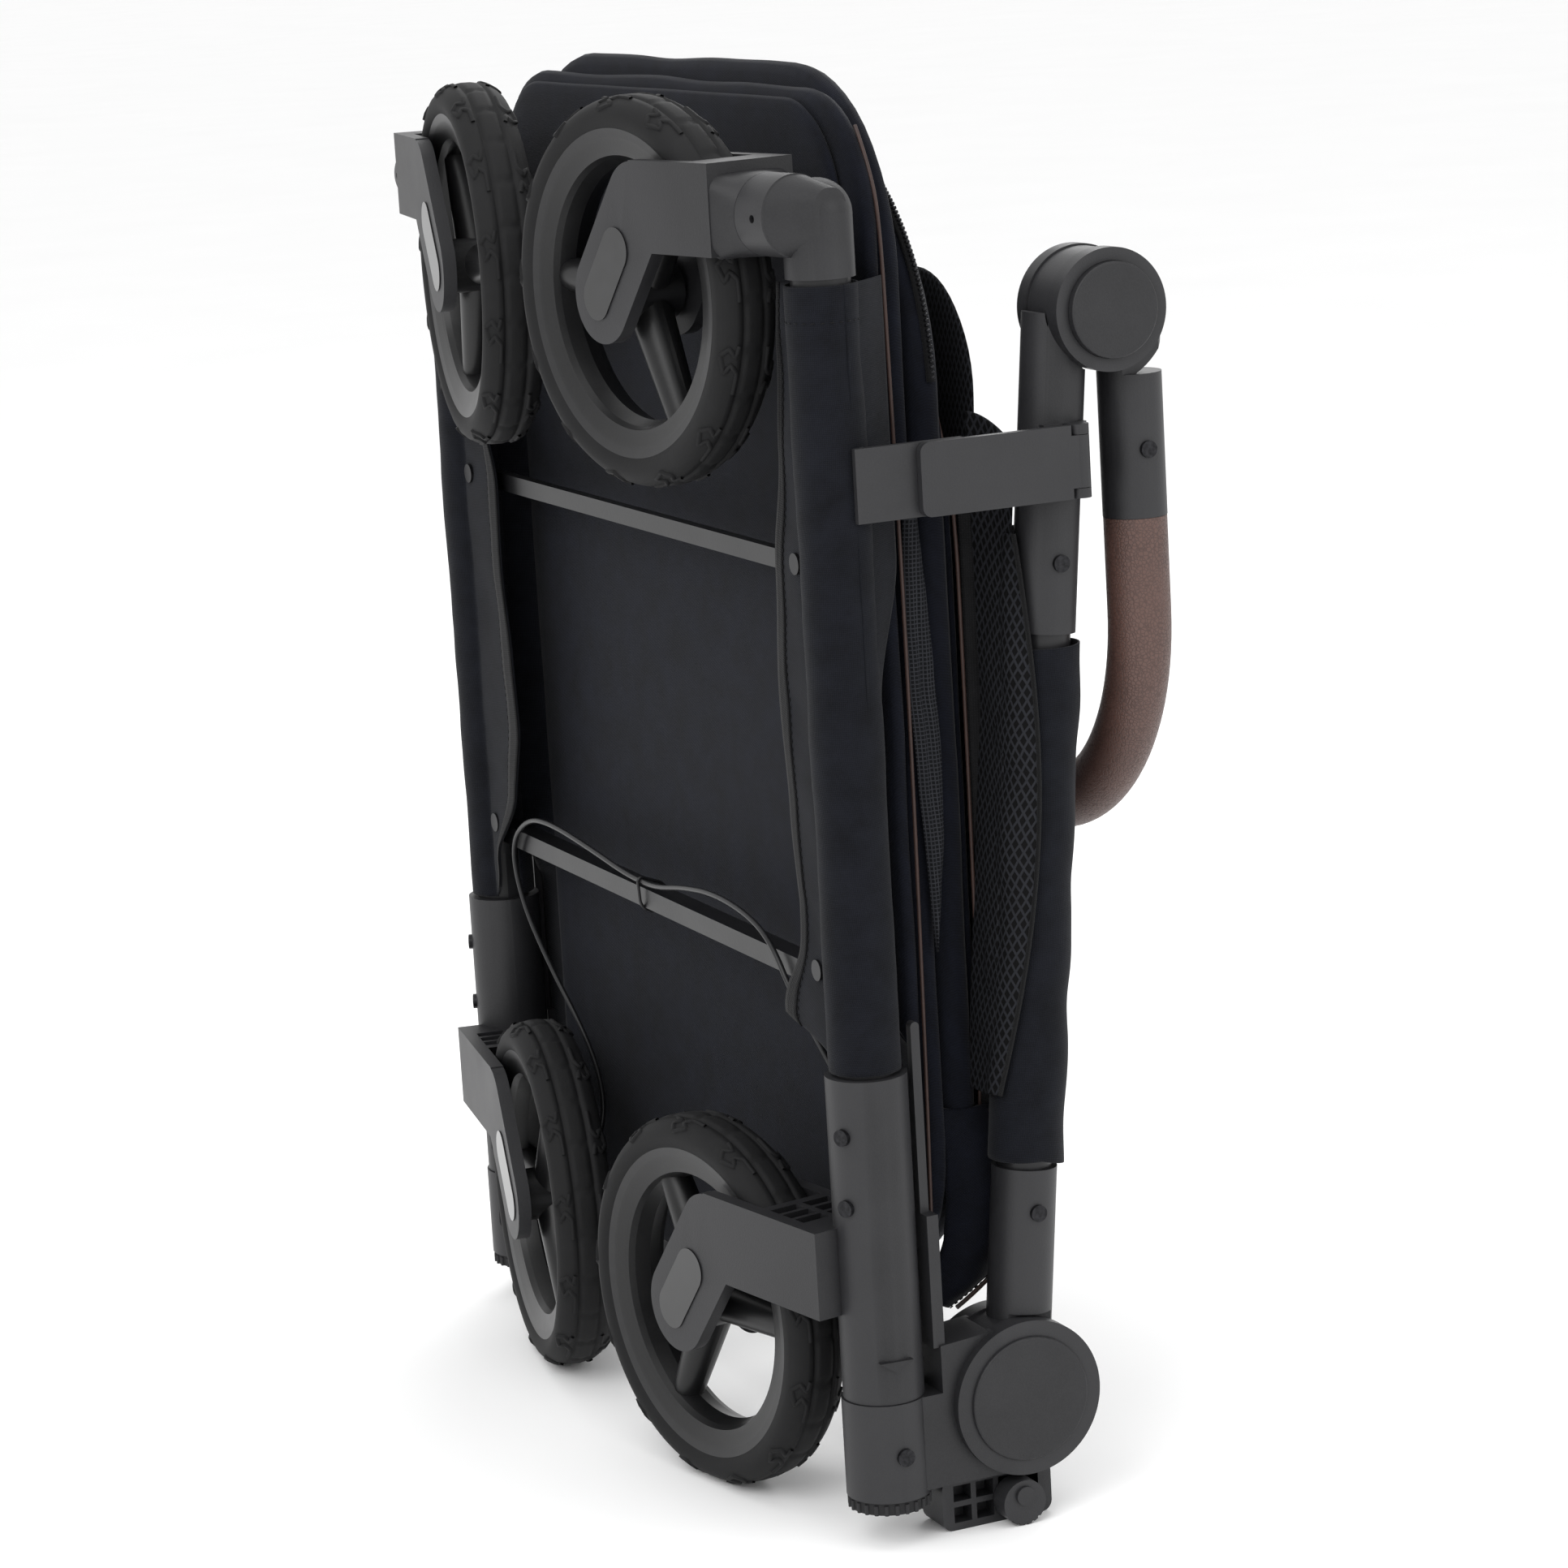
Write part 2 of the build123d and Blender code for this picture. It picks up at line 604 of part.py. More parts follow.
def latch_lever():
    """Latch lever: a flat hook that swings out from the catch plate."""
    z0, z1 = LATCH_Z
    x, y = LATCH_PIVOT
    knuckle_part = post(LATCH_EAR_R, z0 + 5.3, z1 - 5.3, x, y)
    plate = box_between((x, 36, z0), (x + 4.6, y - 6.4, z1))
    plate = fillet(plate.edges().filter_by(Axis.X).sort_by(Axis.Y)[:2], 5.0)
    tongue = box_between((x, y - 8, z0 + 5.3), (x + 4.6, y, z1 - 5.3))
    hook = box_between((TUBE_X + 19, 46.5, z0 + 11), (x + 1, 49.5, z1 - 11))
    lever = plate + tongue + knuckle_part + hook
    return lever - post(2.5 + RUNNING, z0, z1, x, y)


# ---------------------------------------------------------------- handle


def handle_knuckle():
    """Right handle sleeve with the middle disc of the handle hinge."""
    radius, z0, z1 = HANDLE_SLEEVE
    x_low, x_high = DRUM_EARS[0][1] + 0.3, DRUM_EARS[1][0] - 0.3
    body = knuckle(DRUM_Y, DRUM_Z, DRUM_R - 1, x_low, x_high, 7.0)
    neck = post(radius, z1 - 2, DRUM_Z, TUBE_X, HANDLE_Y) & box_between(
        (x_low, 100, z1 - 3), (x_high, HANDLE_Y + radius, DRUM_Z)
    )
    neck &= rod_x(DRUM_R + 8, x_low, x_high, DRUM_Y, DRUM_Z)
    body += neck - rod_x(9.0, x_low, x_high, DRUM_Y, DRUM_Z)
    body += post(radius, z0, z1, TUBE_X, HANDLE_Y)
    return body - post(HANDLE_BAR_R, z0 - 1, z1 - 12, TUBE_X, HANDLE_Y)


def u_bar(z_top, radius):
    """A round bar along the handle's U: a level run, a bend at each corner and two straight legs."""
    x_bend = TUBE_X - GRIP_BEND_R
    run = rod_x(radius, -x_bend, x_bend, HANDLE_Y, GRIP_BEND_Z - GRIP_BEND_R)
    leg = post(radius, GRIP_BEND_Z, z_top, TUBE_X, HANDLE_Y)
    section = Pos(TUBE_X, HANDLE_Y, GRIP_BEND_Z) * Circle(radius)
    bend = revolve(section, Axis((x_bend, HANDLE_Y, GRIP_BEND_Z), (0, 1, 0)), 90)
    return run + bend + leg + mirrored(bend) + mirrored(leg)


# ---------------------------------------------------------------- writing


def both(shape):
    """A right-hand shape and its left-hand copy as two solids of one sub-part."""
    return Compound(children=[shape, mirrored(shape)])


def build():
    """Every sub-part by name, before the shift along Y."""
    parts = {}
    right = {
        "side_tube": to_right_side(side_tube()),
        "elbow": to_right_side(elbow()),
        "rear_bracket": to_right_side(rear_bracket()),
        "bracket_rivets": to_right_side(bracket_rivets()),
        "rear_axle": to_right_side(axle(REAR_WHEEL)),
        "rear_badge": to_right_side(badge(REAR_WHEEL)),
        "fork": to_right_side(fork()),
        "front_axle": to_right_side(axle(FRONT_WHEEL)),
        "front_badge": to_right_side(badge(FRONT_WHEEL)),
        "front_rim": to_right_side(Pos(*FRONT_WHEEL) * rim(5)),
        "front_tyre": to_right_side(Pos(*FRONT_WHEEL) * tyre()),
        "rear_rim": to_right_side(Pos(*REAR_WHEEL) * rim(60)),
        "rear_tyre": to_right_side(Pos(*REAR_WHEEL) * tyre()),
        "end_socket": end_socket(),
        "upper_drum": drum(),
        "hinge_button": hinge_button(),
    }
    for name, shape in right.items():
        parts[name + "_right"] = shape
        parts[name + "_left"] = mirrored(shape)

    parts["hinge_pins"] = both(hinge_pin())
    parts["hinge_caps"] = both(hinge_cap())
    parts["socket_caps"] = both(socket_cap())
    parts["socket_rivets"] = both(socket_rivet())
    parts["stand_feet"] = Compound(children=[stand_foot() + pedal_pin(), mirrored(stand_foot())])
    parts["brake_pedal"] = brake_pedal()
    for name, bar in zip(("rear_cross_bar", "front_cross_bar"), CROSS_BARS):
        parts[name] = cross_bar(*bar)
    parts["tube_hems"] = Compound(children=[tube_hem(True), mirrored(tube_hem(False))])
    parts["hem_snaps"] = snaps()
    parts["floor_cover"] = rounded_panel(232, 66, FLOOR_TOP, 50, 22.5, 25.0)
    parts["floor_board"] = rounded_panel(222, 90, FLOOR_TOP - 12, 42, 25.2, 28.0)
    parts["cabin_walls"] = cabin_walls()
    parts["canopy_roll"] = canopy_roll()
    parts["brake_cable"] = brake_cable()
    parts["cable_tie"] = cable_tie()
    parts["latch_catch"] = latch_catch()

    parts["upright_knuckles"] = both(upright_knuckle())
    parts["upright_tubes"] = both(upright_tube())
    rivets = [
        sleeve_rivet(leaning(radius, z - 8, z + 8), upright_y(z), z, radius)
        for radius, z in ((LOWER_SLEEVE[0], 163.0), (UPPER_SLEEVE[0], 496.0))
    ]
    parts["upright_rivets"] = Compound(children=rivets + [mirrored(r) for r in rivets])
    parts["upright_cover"] = upright_cover()
    parts["mesh_pocket"] = mesh_pocket()
    parts["latch_clamp"] = latch_clamp()
    parts["latch_lever"] = latch_lever()

    parts["handle_knuckles"] = both(handle_knuckle())
    parts["handle_bar"] = u_bar(HANDLE_SLEEVE[2] - 12, HANDLE_BAR_R)
    parts["grip"] = u_bar(HANDLE_SLEEVE[1] - 0.2, GRIP_R) - u_bar(HANDLE_SLEEVE[1] + 5, HANDLE_BAR_R)
    handle_sleeve = post(HANDLE_SLEEVE[0], 540, 556, TUBE_X, HANDLE_Y)
    parts["handle_rivets"] = both(sleeve_rivet(handle_sleeve, HANDLE_Y, 548.0, HANDLE_SLEEVE[0]))
    return parts


def main():
    os.makedirs("parts", exist_ok=True)
    for name, shape in build().items():
        solids = [Pos(0, Y_SHIFT, 0) * solid for solid in shape.solids()]
        export_step(solids[0] if len(solids) == 1 else Compound(solids), f"parts/{name}.step")


main()
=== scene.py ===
"""Pet stroller, folded and standing on end: looks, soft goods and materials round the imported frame.

Metres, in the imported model's own frame: +X is the stroller's right side, +Y is towards the folded
handle, +Z is up along the side tubes.
"""

import json
from math import cos, pi, radians, sin

import bpy
from mathutils import Matrix, Vector, noise


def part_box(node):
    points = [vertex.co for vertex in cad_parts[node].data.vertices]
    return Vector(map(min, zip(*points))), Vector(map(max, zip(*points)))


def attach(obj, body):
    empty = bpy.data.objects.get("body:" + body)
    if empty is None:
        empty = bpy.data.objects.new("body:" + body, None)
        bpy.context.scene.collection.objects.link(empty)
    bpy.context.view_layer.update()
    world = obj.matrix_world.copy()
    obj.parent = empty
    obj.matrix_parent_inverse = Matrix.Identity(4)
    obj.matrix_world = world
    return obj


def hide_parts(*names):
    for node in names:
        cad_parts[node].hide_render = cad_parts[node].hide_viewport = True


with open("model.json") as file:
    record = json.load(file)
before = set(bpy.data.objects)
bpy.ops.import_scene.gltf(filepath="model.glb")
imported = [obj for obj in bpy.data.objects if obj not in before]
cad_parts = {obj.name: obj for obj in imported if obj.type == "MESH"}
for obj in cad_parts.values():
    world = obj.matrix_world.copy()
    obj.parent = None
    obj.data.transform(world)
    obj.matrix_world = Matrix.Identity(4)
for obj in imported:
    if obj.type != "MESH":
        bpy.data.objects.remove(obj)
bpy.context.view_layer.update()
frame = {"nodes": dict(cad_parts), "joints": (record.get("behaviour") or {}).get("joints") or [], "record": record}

MM = 0.001
SIDES = (("right", 1), ("left", -1))
nodes = frame["nodes"]


# ---------------------------------------------------------------- materials: helpers


def srgb(code, alpha=1.0):
    """A linear colour from an sRGB hex value such as 'a1b2c3'."""
    parts = [int(code[i : i + 2], 16) / 255 for i in (0, 2, 4)]
    linear = [p / 12.92 if p <= 0.04045 else ((p + 0.055) / 1.055) ** 2.4 for p in parts]
    return (*linear, alpha)


def add(tree, kind, settings=None, links=None):
    """Adds one node with its settings and links. A setting is a property, or else a socket's value."""
    made = tree.nodes.new(kind)
    for name, value in (settings or {}).items():
        if isinstance(name, str) and hasattr(made, name):
            setattr(made, name, value)
        else:
            made.inputs[name].default_value = value
    for name, source in (links or {}).items():
        tree.links.new(source, made.inputs[name])
    return made


def new_material(name):
    """An empty node material, with its tree and a coordinate node."""
    material = bpy.data.materials.new(name)
    material.use_nodes = True
    tree = material.node_tree
    tree.nodes.clear()
    return material, tree, add(tree, "ShaderNodeTexCoord")


def close_material(tree, settings, links):
    """The shader and the output, which end every material."""
    shader = add(tree, "ShaderNodeBsdfPrincipled", settings, links)
    add(tree, "ShaderNodeOutputMaterial", None, {"Surface": shader.outputs["BSDF"]})


def ramp(tree, source, stops):
    """A colour ramp with (position, hex colour) stops."""
    made = add(tree, "ShaderNodeValToRGB", None, {"Fac": source})
    elements = made.color_ramp.elements
    while len(elements) < len(stops):
        elements.new(0.5)
    for element, (place, code) in zip(elements, stops):
        element.position = place
        element.color = srgb(code)
    return made.outputs["Color"]


def span(tree, source, low, high):
    """Maps a value from 0..1 to low..high."""
    settings = {"To Min": low, "To Max": high}
    return add(tree, "ShaderNodeMapRange", settings, {"Value": source}).outputs["Result"]


def per_mm(size):
    """Texture scale for a pattern whose features repeat every so many millimetres."""
    return 1000.0 / size


# ---------------------------------------------------------------- materials: hard finishes


def moulded_material(name, dark, light, roughness, grain_mm, grain_depth, patch_mm=38.0):
    """A moulded surface: slow patches of colour and gloss from handling, the mould's own grain, and a painted
    highlight along its sharp edges.
    """
    material, tree, where = new_material(name)
    place = where.outputs["Object"]
    patches = add(
        tree, "ShaderNodeTexNoise", {"Scale": per_mm(patch_mm), "Detail": 5.0, "Roughness": 0.62},
        {"Vector": place},
    ).outputs["Fac"]
    grain = add(
        tree, "ShaderNodeTexNoise", {"Scale": per_mm(grain_mm), "Detail": 3.0}, {"Vector": place}
    ).outputs["Fac"]
    # Sharp outer edges are mixed towards a lighter grey: a painted highlight along the edges.
    edge_pointiness = add(tree, "ShaderNodeNewGeometry").outputs["Pointiness"]
    raised = {"From Min": 0.52, "From Max": 0.62, "To Max": 0.35}
    edge = add(tree, "ShaderNodeMapRange", raised, {"Value": edge_pointiness})
    base = ramp(tree, patches, ((0.3, dark), (0.72, light)))
    speckle = ramp(tree, grain, ((0.35, dark), (0.7, light)))
    mixed = add(tree, "ShaderNodeMix", {"data_type": "RGBA", "Factor": 0.35})
    tree.links.new(base, mixed.inputs[6])
    tree.links.new(speckle, mixed.inputs[7])
    # The painted edge highlight: the grey below is mixed in where the edges are sharp.
    colour_with_edge_highlight = add(tree, "ShaderNodeMix", {"data_type": "RGBA"}, {"Factor": edge.outputs["Result"]})
    tree.links.new(mixed.outputs[2], colour_with_edge_highlight.inputs[6])
    colour_with_edge_highlight.inputs[7].default_value = srgb("343436")
    rough = span(tree, patches, roughness - 0.06, roughness + 0.08)
    bump = add(
        tree, "ShaderNodeBump", {"Strength": 0.55, "Distance": grain_depth * MM}, {"Height": grain}
    ).outputs["Normal"]
    close_material(
        tree, {"IOR": 1.5, "Specular IOR Level": 0.34},
        {"Base Color": colour_with_edge_highlight.outputs[2], "Roughness": rough, "Normal": bump},
    )
    return material


def glass_filled_nylon():
    """Glass-filled nylon, injection moulded against a textured tool: charcoal, satin, fine grain.

    The real grain is about 0.5 mm across and is drawn at 0.9 mm so that it shows."""
    return moulded_material("glass_filled_nylon", "18181a", "262628", 0.46, 0.9, 0.14)


def smooth_nylon():
    """Nylon wheel centres, moulded in a polished tool: a shade darker and glossier than the brackets."""
    return moulded_material("smooth_nylon", "0d0d0e", "181819", 0.34, 1.4, 0.05)


def powder_coat():
    """Satin black powder coat on aluminium tube, with the slight orange peel of a baked coat."""
    return moulded_material("powder_coat", "0c0c0e", "151517", 0.36, 2.0, 0.05, 60.0)


def moulded_rubber():
    """Moulded rubber end caps and pads: flat black with a dusty bloom."""
    return moulded_material("moulded_rubber", "0e0e0f", "181819", 0.72, 1.2, 0.08)


def black_oxide():
    """Black-oxide steel rivets: dark, domed, with a soft metallic gleam."""
    material, tree, where = new_material("black_oxide")
    noise = add(
        tree, "ShaderNodeTexNoise", {"Scale": per_mm(2.0), "Detail": 4.0},
        {"Vector": where.outputs["Object"]},
    ).outputs["Fac"]
    colour = ramp(tree, noise, ((0.3, "141416"), (0.75, "2e2e31")))
    rough = span(tree, noise, 0.3, 0.46)
    close_material(tree, {"Metallic": 0.75}, {"Base Color": colour, "Roughness": rough})
    return material


def zinc_plate():
    """Zinc-plated steel axles, pins and studs: pale grey metal with fine turning marks."""
    material, tree, where = new_material("zinc_plate")
    noise = add(
        tree, "ShaderNodeTexNoise", {"Scale": per_mm(1.2), "Detail": 4.0},
        {"Vector": where.outputs["Object"]},
    ).outputs["Fac"]
    colour = ramp(tree, noise, ((0.3, "77787a"), (0.75, "a4a5a8")))
    rough = span(tree, noise, 0.24, 0.4)
    close_material(tree, {"Metallic": 1.0}, {"Base Color": colour, "Roughness": rough})
    return material


def polished_abs():
    """High-gloss black ABS badge plates, with faint swirl marks that break up the reflection."""
    material, tree, where = new_material("polished_abs")
    noise = add(
        tree, "ShaderNodeTexNoise", {"Scale": per_mm(9.0), "Detail": 6.0},
        {"Vector": where.outputs["Object"]},
    ).outputs["Fac"]
    colour = ramp(tree, noise, ((0.35, "0c0c0d"), (0.7, "151517")))
    rough = span(tree, noise, 0.06, 0.16)
    close_material(tree, {"IOR": 1.54, "Coat Weight": 0.12, "Coat Roughness": 0.08},
                   {"Base Color": colour, "Roughness": rough})
    return material


def foam_rubber():
    """Foamed EVA tyre: flat near-black with a dry bloom and the fine pores of a moulded foam skin."""
    material, tree, where = new_material("foam_rubber")
    place = where.outputs["Object"]
    bloom = add(
        tree, "ShaderNodeTexNoise", {"Scale": per_mm(26.0), "Detail": 7.0, "Roughness": 0.7},
        {"Vector": place},
    ).outputs["Fac"]
    pores = add(
        tree, "ShaderNodeTexVoronoi", {"Scale": per_mm(1.3), "feature": "F1"}, {"Vector": place}
    ).outputs["Distance"]
    colour = ramp(tree, bloom, ((0.25, "0f0f10"), (0.55, "161617"), (0.85, "1f1f20")))
    rough = span(tree, bloom, 0.62, 0.8)
    bump = add(
        tree, "ShaderNodeBump", {"Strength": 0.3, "Distance": 0.12 * MM}, {"Height": pores}
    ).outputs["Normal"]
    close_material(
        tree, {"IOR": 1.5, "Specular IOR Level": 0.22},
        {"Base Color": colour, "Roughness": rough, "Normal": bump},
    )
    return material


def vinyl_sheath():
    """Extruded vinyl cable sheath: smooth black with a soft shine."""
    return moulded_material("vinyl_sheath", "111112", "1c1c1e", 0.34, 3.0, 0.03)


# ---------------------------------------------------------------- materials: soft goods


# Scale of the wave texture in a weave. It draws a band every 0.63 of the pitch that a cloth names
BAND_SCALE = 0.5


def woven_material(name, dark, light, thread_mm, depth_mm, diagonal, roughness=0.86, sheen=0.05):
    """A woven cloth on UVs in metres: warp and weft as crossed bands, at an angle for twill."""
    material, tree, where = new_material(name)
    turn = add(
        tree,
        "ShaderNodeMapping",
        {"Rotation": (0.0, 0.0, radians(diagonal)), "Scale": (per_mm(thread_mm),) * 3},
        {"Vector": where.outputs["UV"]},
    ).outputs["Vector"]
    bands = []
    for direction in ("X", "Y"):
        wave = {"wave_type": "BANDS", "bands_direction": direction, "Scale": BAND_SCALE,
                "Distortion": 0.6, "Detail": 2.0, "Detail Scale": 2.0}
        bands.append(add(tree, "ShaderNodeTexWave", wave, {"Vector": turn}).outputs["Fac"])
    crossed = {0: bands[0], 1: bands[1]}
    weave = add(tree, "ShaderNodeMath", {"operation": "MULTIPLY"}, crossed).outputs["Value"]
    slub = add(
        tree, "ShaderNodeTexNoise", {"Scale": per_mm(22.0), "Detail": 6.0, "Roughness": 0.65},
        {"Vector": where.outputs["UV"]},
    ).outputs["Fac"]
    mixed = {0: weave, 2: slub}
    tone = add(tree, "ShaderNodeMath", {"operation": "MULTIPLY_ADD", 1: 0.5}, mixed).outputs["Value"]
    colour = ramp(tree, tone, ((0.35, dark), (0.95, light)))
    bump = add(
        tree, "ShaderNodeBump", {"Strength": 0.7, "Distance": depth_mm * MM}, {"Height": weave}
    ).outputs["Normal"]
    close_material(
        tree,
        {"Roughness": roughness, "Sheen Weight": sheen, "Sheen Roughness": 0.45,
         "Specular IOR Level": 0.14},
        {"Base Color": colour, "Normal": bump},
    )
    return material


def navy_twill():
    """Polyester twill, dyed a navy that is nearly black. The rib of 0.8 mm is drawn at about 1 mm."""
    return woven_material("navy_twill", "04050a", "10131e", 1.6, 0.18, 45.0)


def black_canvas():
    """Plain-weave canvas of the hems, with a thread pitch of about 0.9 mm."""
    return woven_material("black_canvas", "05060a", "15171e", 1.5, 0.22, 0.0)


def webbing():
    """Woven edge tape: a heavier rib than the cloth beside it, 1.3 mm, with a slight shine."""
    return woven_material("webbing", "050506", "161618", 2.0, 0.3, 0.0, 0.7, 0.05)


def brown_piping():
    """Leatherette piping cord round the padded panels: a dark warm brown, softly shiny."""
    return moulded_material("brown_piping", "2b1d19", "402d27", 0.5, 1.2, 0.08, 14.0)


def pebbled_leatherette():
    """Embossed polyurethane leather of the push handle: brown cells 1.9 mm across, with painted shade darkening
    the creases between them.
    """
    material, tree, where = new_material("pebbled_leatherette")
    place = where.outputs["Object"]
    cells = add(
        tree, "ShaderNodeTexVoronoi", {"Scale": per_mm(1.9), "feature": "DISTANCE_TO_EDGE"},
        {"Vector": place},
    ).outputs["Distance"]
    patches = add(
        tree, "ShaderNodeTexNoise", {"Scale": per_mm(30.0), "Detail": 5.0}, {"Vector": place}
    ).outputs["Fac"]
    crease = add(tree, "ShaderNodeMapRange", {"From Max": 0.16}, {"Value": cells}).outputs["Result"]
    # The creases take a darker brown: painted shade in the valleys between the pebbles.
    tone = add(tree, "ShaderNodeMath", {"operation": "MULTIPLY_ADD", 1: 0.55}, {0: crease, 2: patches})
    colour = ramp(tree, tone.outputs["Value"], ((0.3, "3d2b26"), (0.8, "4c3630"), (1.0, "553d36")))
    rough = span(tree, crease, 0.6, 0.42)
    bump = add(
        tree, "ShaderNodeBump", {"Strength": 0.6, "Distance": 0.25 * MM}, {"Height": crease}
    ).outputs["Normal"]
    close_material(tree, {"IOR": 1.48}, {"Base Color": colour, "Roughness": rough, "Normal": bump})
    return material


def open_knit(name, cell_mm, painted_hole_shade, thread, strand, turn=0.0, tall=1.0, loose=0.0):
    """Knitted mesh: holes between raised strands, in cells that can be turned and stretched. The holes are
    coloured darker than the strands, as painted shade seen through them.
    """
    material, tree, where = new_material(name)
    pitch = {"Rotation": (0.0, 0.0, radians(turn)), "Scale": (per_mm(cell_mm), per_mm(cell_mm * tall), 1.0)}
    laid = add(tree, "ShaderNodeMapping", pitch, {"Vector": where.outputs["UV"]}).outputs["Vector"]
    net = {"Scale": 1.0, "feature": "DISTANCE_TO_EDGE", "Randomness": loose}
    cells = add(tree, "ShaderNodeTexVoronoi", net, {"Vector": laid}).outputs["Distance"]
    edge = add(tree, "ShaderNodeMapRange", {"From Min": strand * 0.6, "From Max": strand}, {"Value": cells})
    slub = add(
        tree, "ShaderNodeTexNoise", {"Scale": per_mm(30.0), "Detail": 4.0}, {"Vector": where.outputs["UV"]}
    ).outputs["Fac"]
    tone = add(tree, "ShaderNodeMath", {"operation": "MULTIPLY_ADD", 1: 0.25},
               {0: slub, 2: edge.outputs["Result"]}).outputs["Value"]
    # The holes take a darker colour than the strands: painted shade in the openings.
    colour = ramp(tree, tone, ((0.1, thread), (1.0, painted_hole_shade)))
    bump = add(
        tree, "ShaderNodeBump", {"Strength": 0.8, "Distance": 0.5 * MM, "invert": True},
        {"Height": edge.outputs["Result"]},
    ).outputs["Normal"]
    close_material(
        tree, {"Roughness": 0.85, "Specular IOR Level": 0.15}, {"Base Color": colour, "Normal": bump}
    )
    return material


def honeycomb_mesh():
    """Spacer mesh of the pocket: black strands round diamond cells 3.4 mm by 5.8 mm, the cells darkened with
    painted shade.
    """
    return open_knit("honeycomb_mesh", 3.4, "040405", "222327", 0.2, 45.0, 1.7, 0.12)


def window_mesh():
    """Fly mesh of the cabin windows: a fine square net. Its 1.2 mm pitch is drawn at 2.2 mm."""
    return open_knit("window_mesh", 2.2, "0c0d10", "2c2d31", 0.2)


finishes = {
    "moulded_nylon": glass_filled_nylon(),
    "rim_nylon": smooth_nylon(),
    "coated_aluminium": powder_coat(),
    "tyre_rubber": foam_rubber(),
    "gloss_badge": polished_abs(),
    "steel": zinc_plate(),
    "rivet_black": black_oxide(),
    "leatherette": pebbled_leatherette(),
    "canvas": black_canvas(),
    "twill": navy_twill(),
    "mesh": honeycomb_mesh(),
    "board": moulded_rubber(),
    "rubber": moulded_rubber(),
    "cable_sheath": vinyl_sheath(),
}
window_net = window_mesh()
piping_leather = brown_piping()
tape = webbing()

for part in frame["record"]["subparts"]:
    shape = nodes[part["node"]]
    shape.data.materials.clear()
    shape.data.materials.append(finishes[part["material_slot"]])


# ---------------------------------------------------------------- building helpers


def corners(node):
    """A node's lowest and highest corner, in millimetres."""
    low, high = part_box(node)
    return Vector(low) / MM, Vector(high) / MM


def finish_piece(piece, finish, body, slot, replaces=()):
    """Gives a piece its material and body, and hides the CAD nodes that it stands for. The slot is not used."""
    if finish is not None:
        piece.data.materials.append(finish)
    bpy.context.scene.collection.objects.link(piece)
    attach(piece, body)
    if replaces:
        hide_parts(*replaces)
    return piece


def mesh_object(name, points, faces, uvs=None):
    """A smooth mesh from points in millimetres, with one UV for each point in metres."""
    mesh = bpy.data.meshes.new(name)
    mesh.from_pydata([Vector(p) * MM for p in points], [], faces)
    if uvs:
        layer = mesh.uv_layers.new(name="cloth")
        for loop in mesh.loops:
            layer.data[loop.index].uv = [value * MM for value in uvs[loop.vertex_index]]
    for polygon in mesh.polygons:
        polygon.use_smooth = True
    mesh.update()
    return bpy.data.objects.new(name, mesh)


def grid(name, point, across, along):
    """A sheet from point(s, t) in millimetres, with its widest width, its length and its true area."""
    rows = [[Vector(point(i / across, j / along)) for i in range(across + 1)] for j in range(along + 1)]
    points, uvs = [], []
    drop = 0.0
    for j, row in enumerate(rows):
        if j:
            drop += (row[across // 2] - rows[j - 1][across // 2]).length
        run = 0.0
        for i, p in enumerate(row):
            if i:
                run += (p - row[i - 1]).length
            points.append(p)
            uvs.append((run, drop))
    wide = across + 1
    faces = [
        (j * wide + i, j * wide + i + 1, (j + 1) * wide + i + 1, (j + 1) * wide + i)
        for j in range(along)
        for i in range(across)
    ]
    width = max(uvs[j * wide + across][0] for j in range(along + 1))
    length = max(
        sum((rows[j + 1][i] - rows[j][i]).length for j in range(along)) for i in range(across + 1)
    )
    area = sum(
        ((points[c] - points[a]).cross(points[d] - points[b])).length / 2 for a, b, c, d in faces
    )
    return mesh_object(name, points, faces, uvs), (width, length, area)


def cloth(piece, cut):
    """Unpacks the cut size and area that a sheet's own grid measures, and keeps nothing. The piece is not used."""
    width, length, area = cut


def thicken(piece, thickness_mm):
    """Gives a sheet its cloth thickness, applied to the mesh."""
    solid = piece.modifiers.new("thickness", "SOLIDIFY")
    solid.thickness, solid.offset = thickness_mm * MM, 0.0
    apply_modifiers(piece)


def apply_modifiers(piece):
    """Replaces a piece's mesh by its mesh with all modifiers applied."""
    if piece.name not in bpy.context.scene.collection.objects:
        bpy.context.scene.collection.objects.link(piece)
    graph = bpy.context.evaluated_depsgraph_get()
    made = bpy.data.meshes.new_from_object(piece.evaluated_get(graph))
    bpy.context.scene.collection.objects.unlink(piece)
    piece.modifiers.clear()
    piece.data = made


def strand(name, points, radius, finish, body, slot, replaces=()):
    """A smooth round cord through control points, in millimetres."""
    curve = bpy.data.curves.new(name, "CURVE")
    curve.dimensions = "3D"
    curve.bevel_depth, curve.bevel_resolution, curve.resolution_u = radius * MM, 4, 8
    curve.use_fill_caps = True
    line = curve.splines.new("NURBS")
    line.points.add(len(points) - 1)
    for knot, p in zip(line.points, points):
        knot.co = (*(Vector(p) * MM), 1.0)
    line.order_u = 3
    line.use_endpoint_u = True
    return finish_piece(bpy.data.objects.new(name, curve), finish, body, slot, replaces)


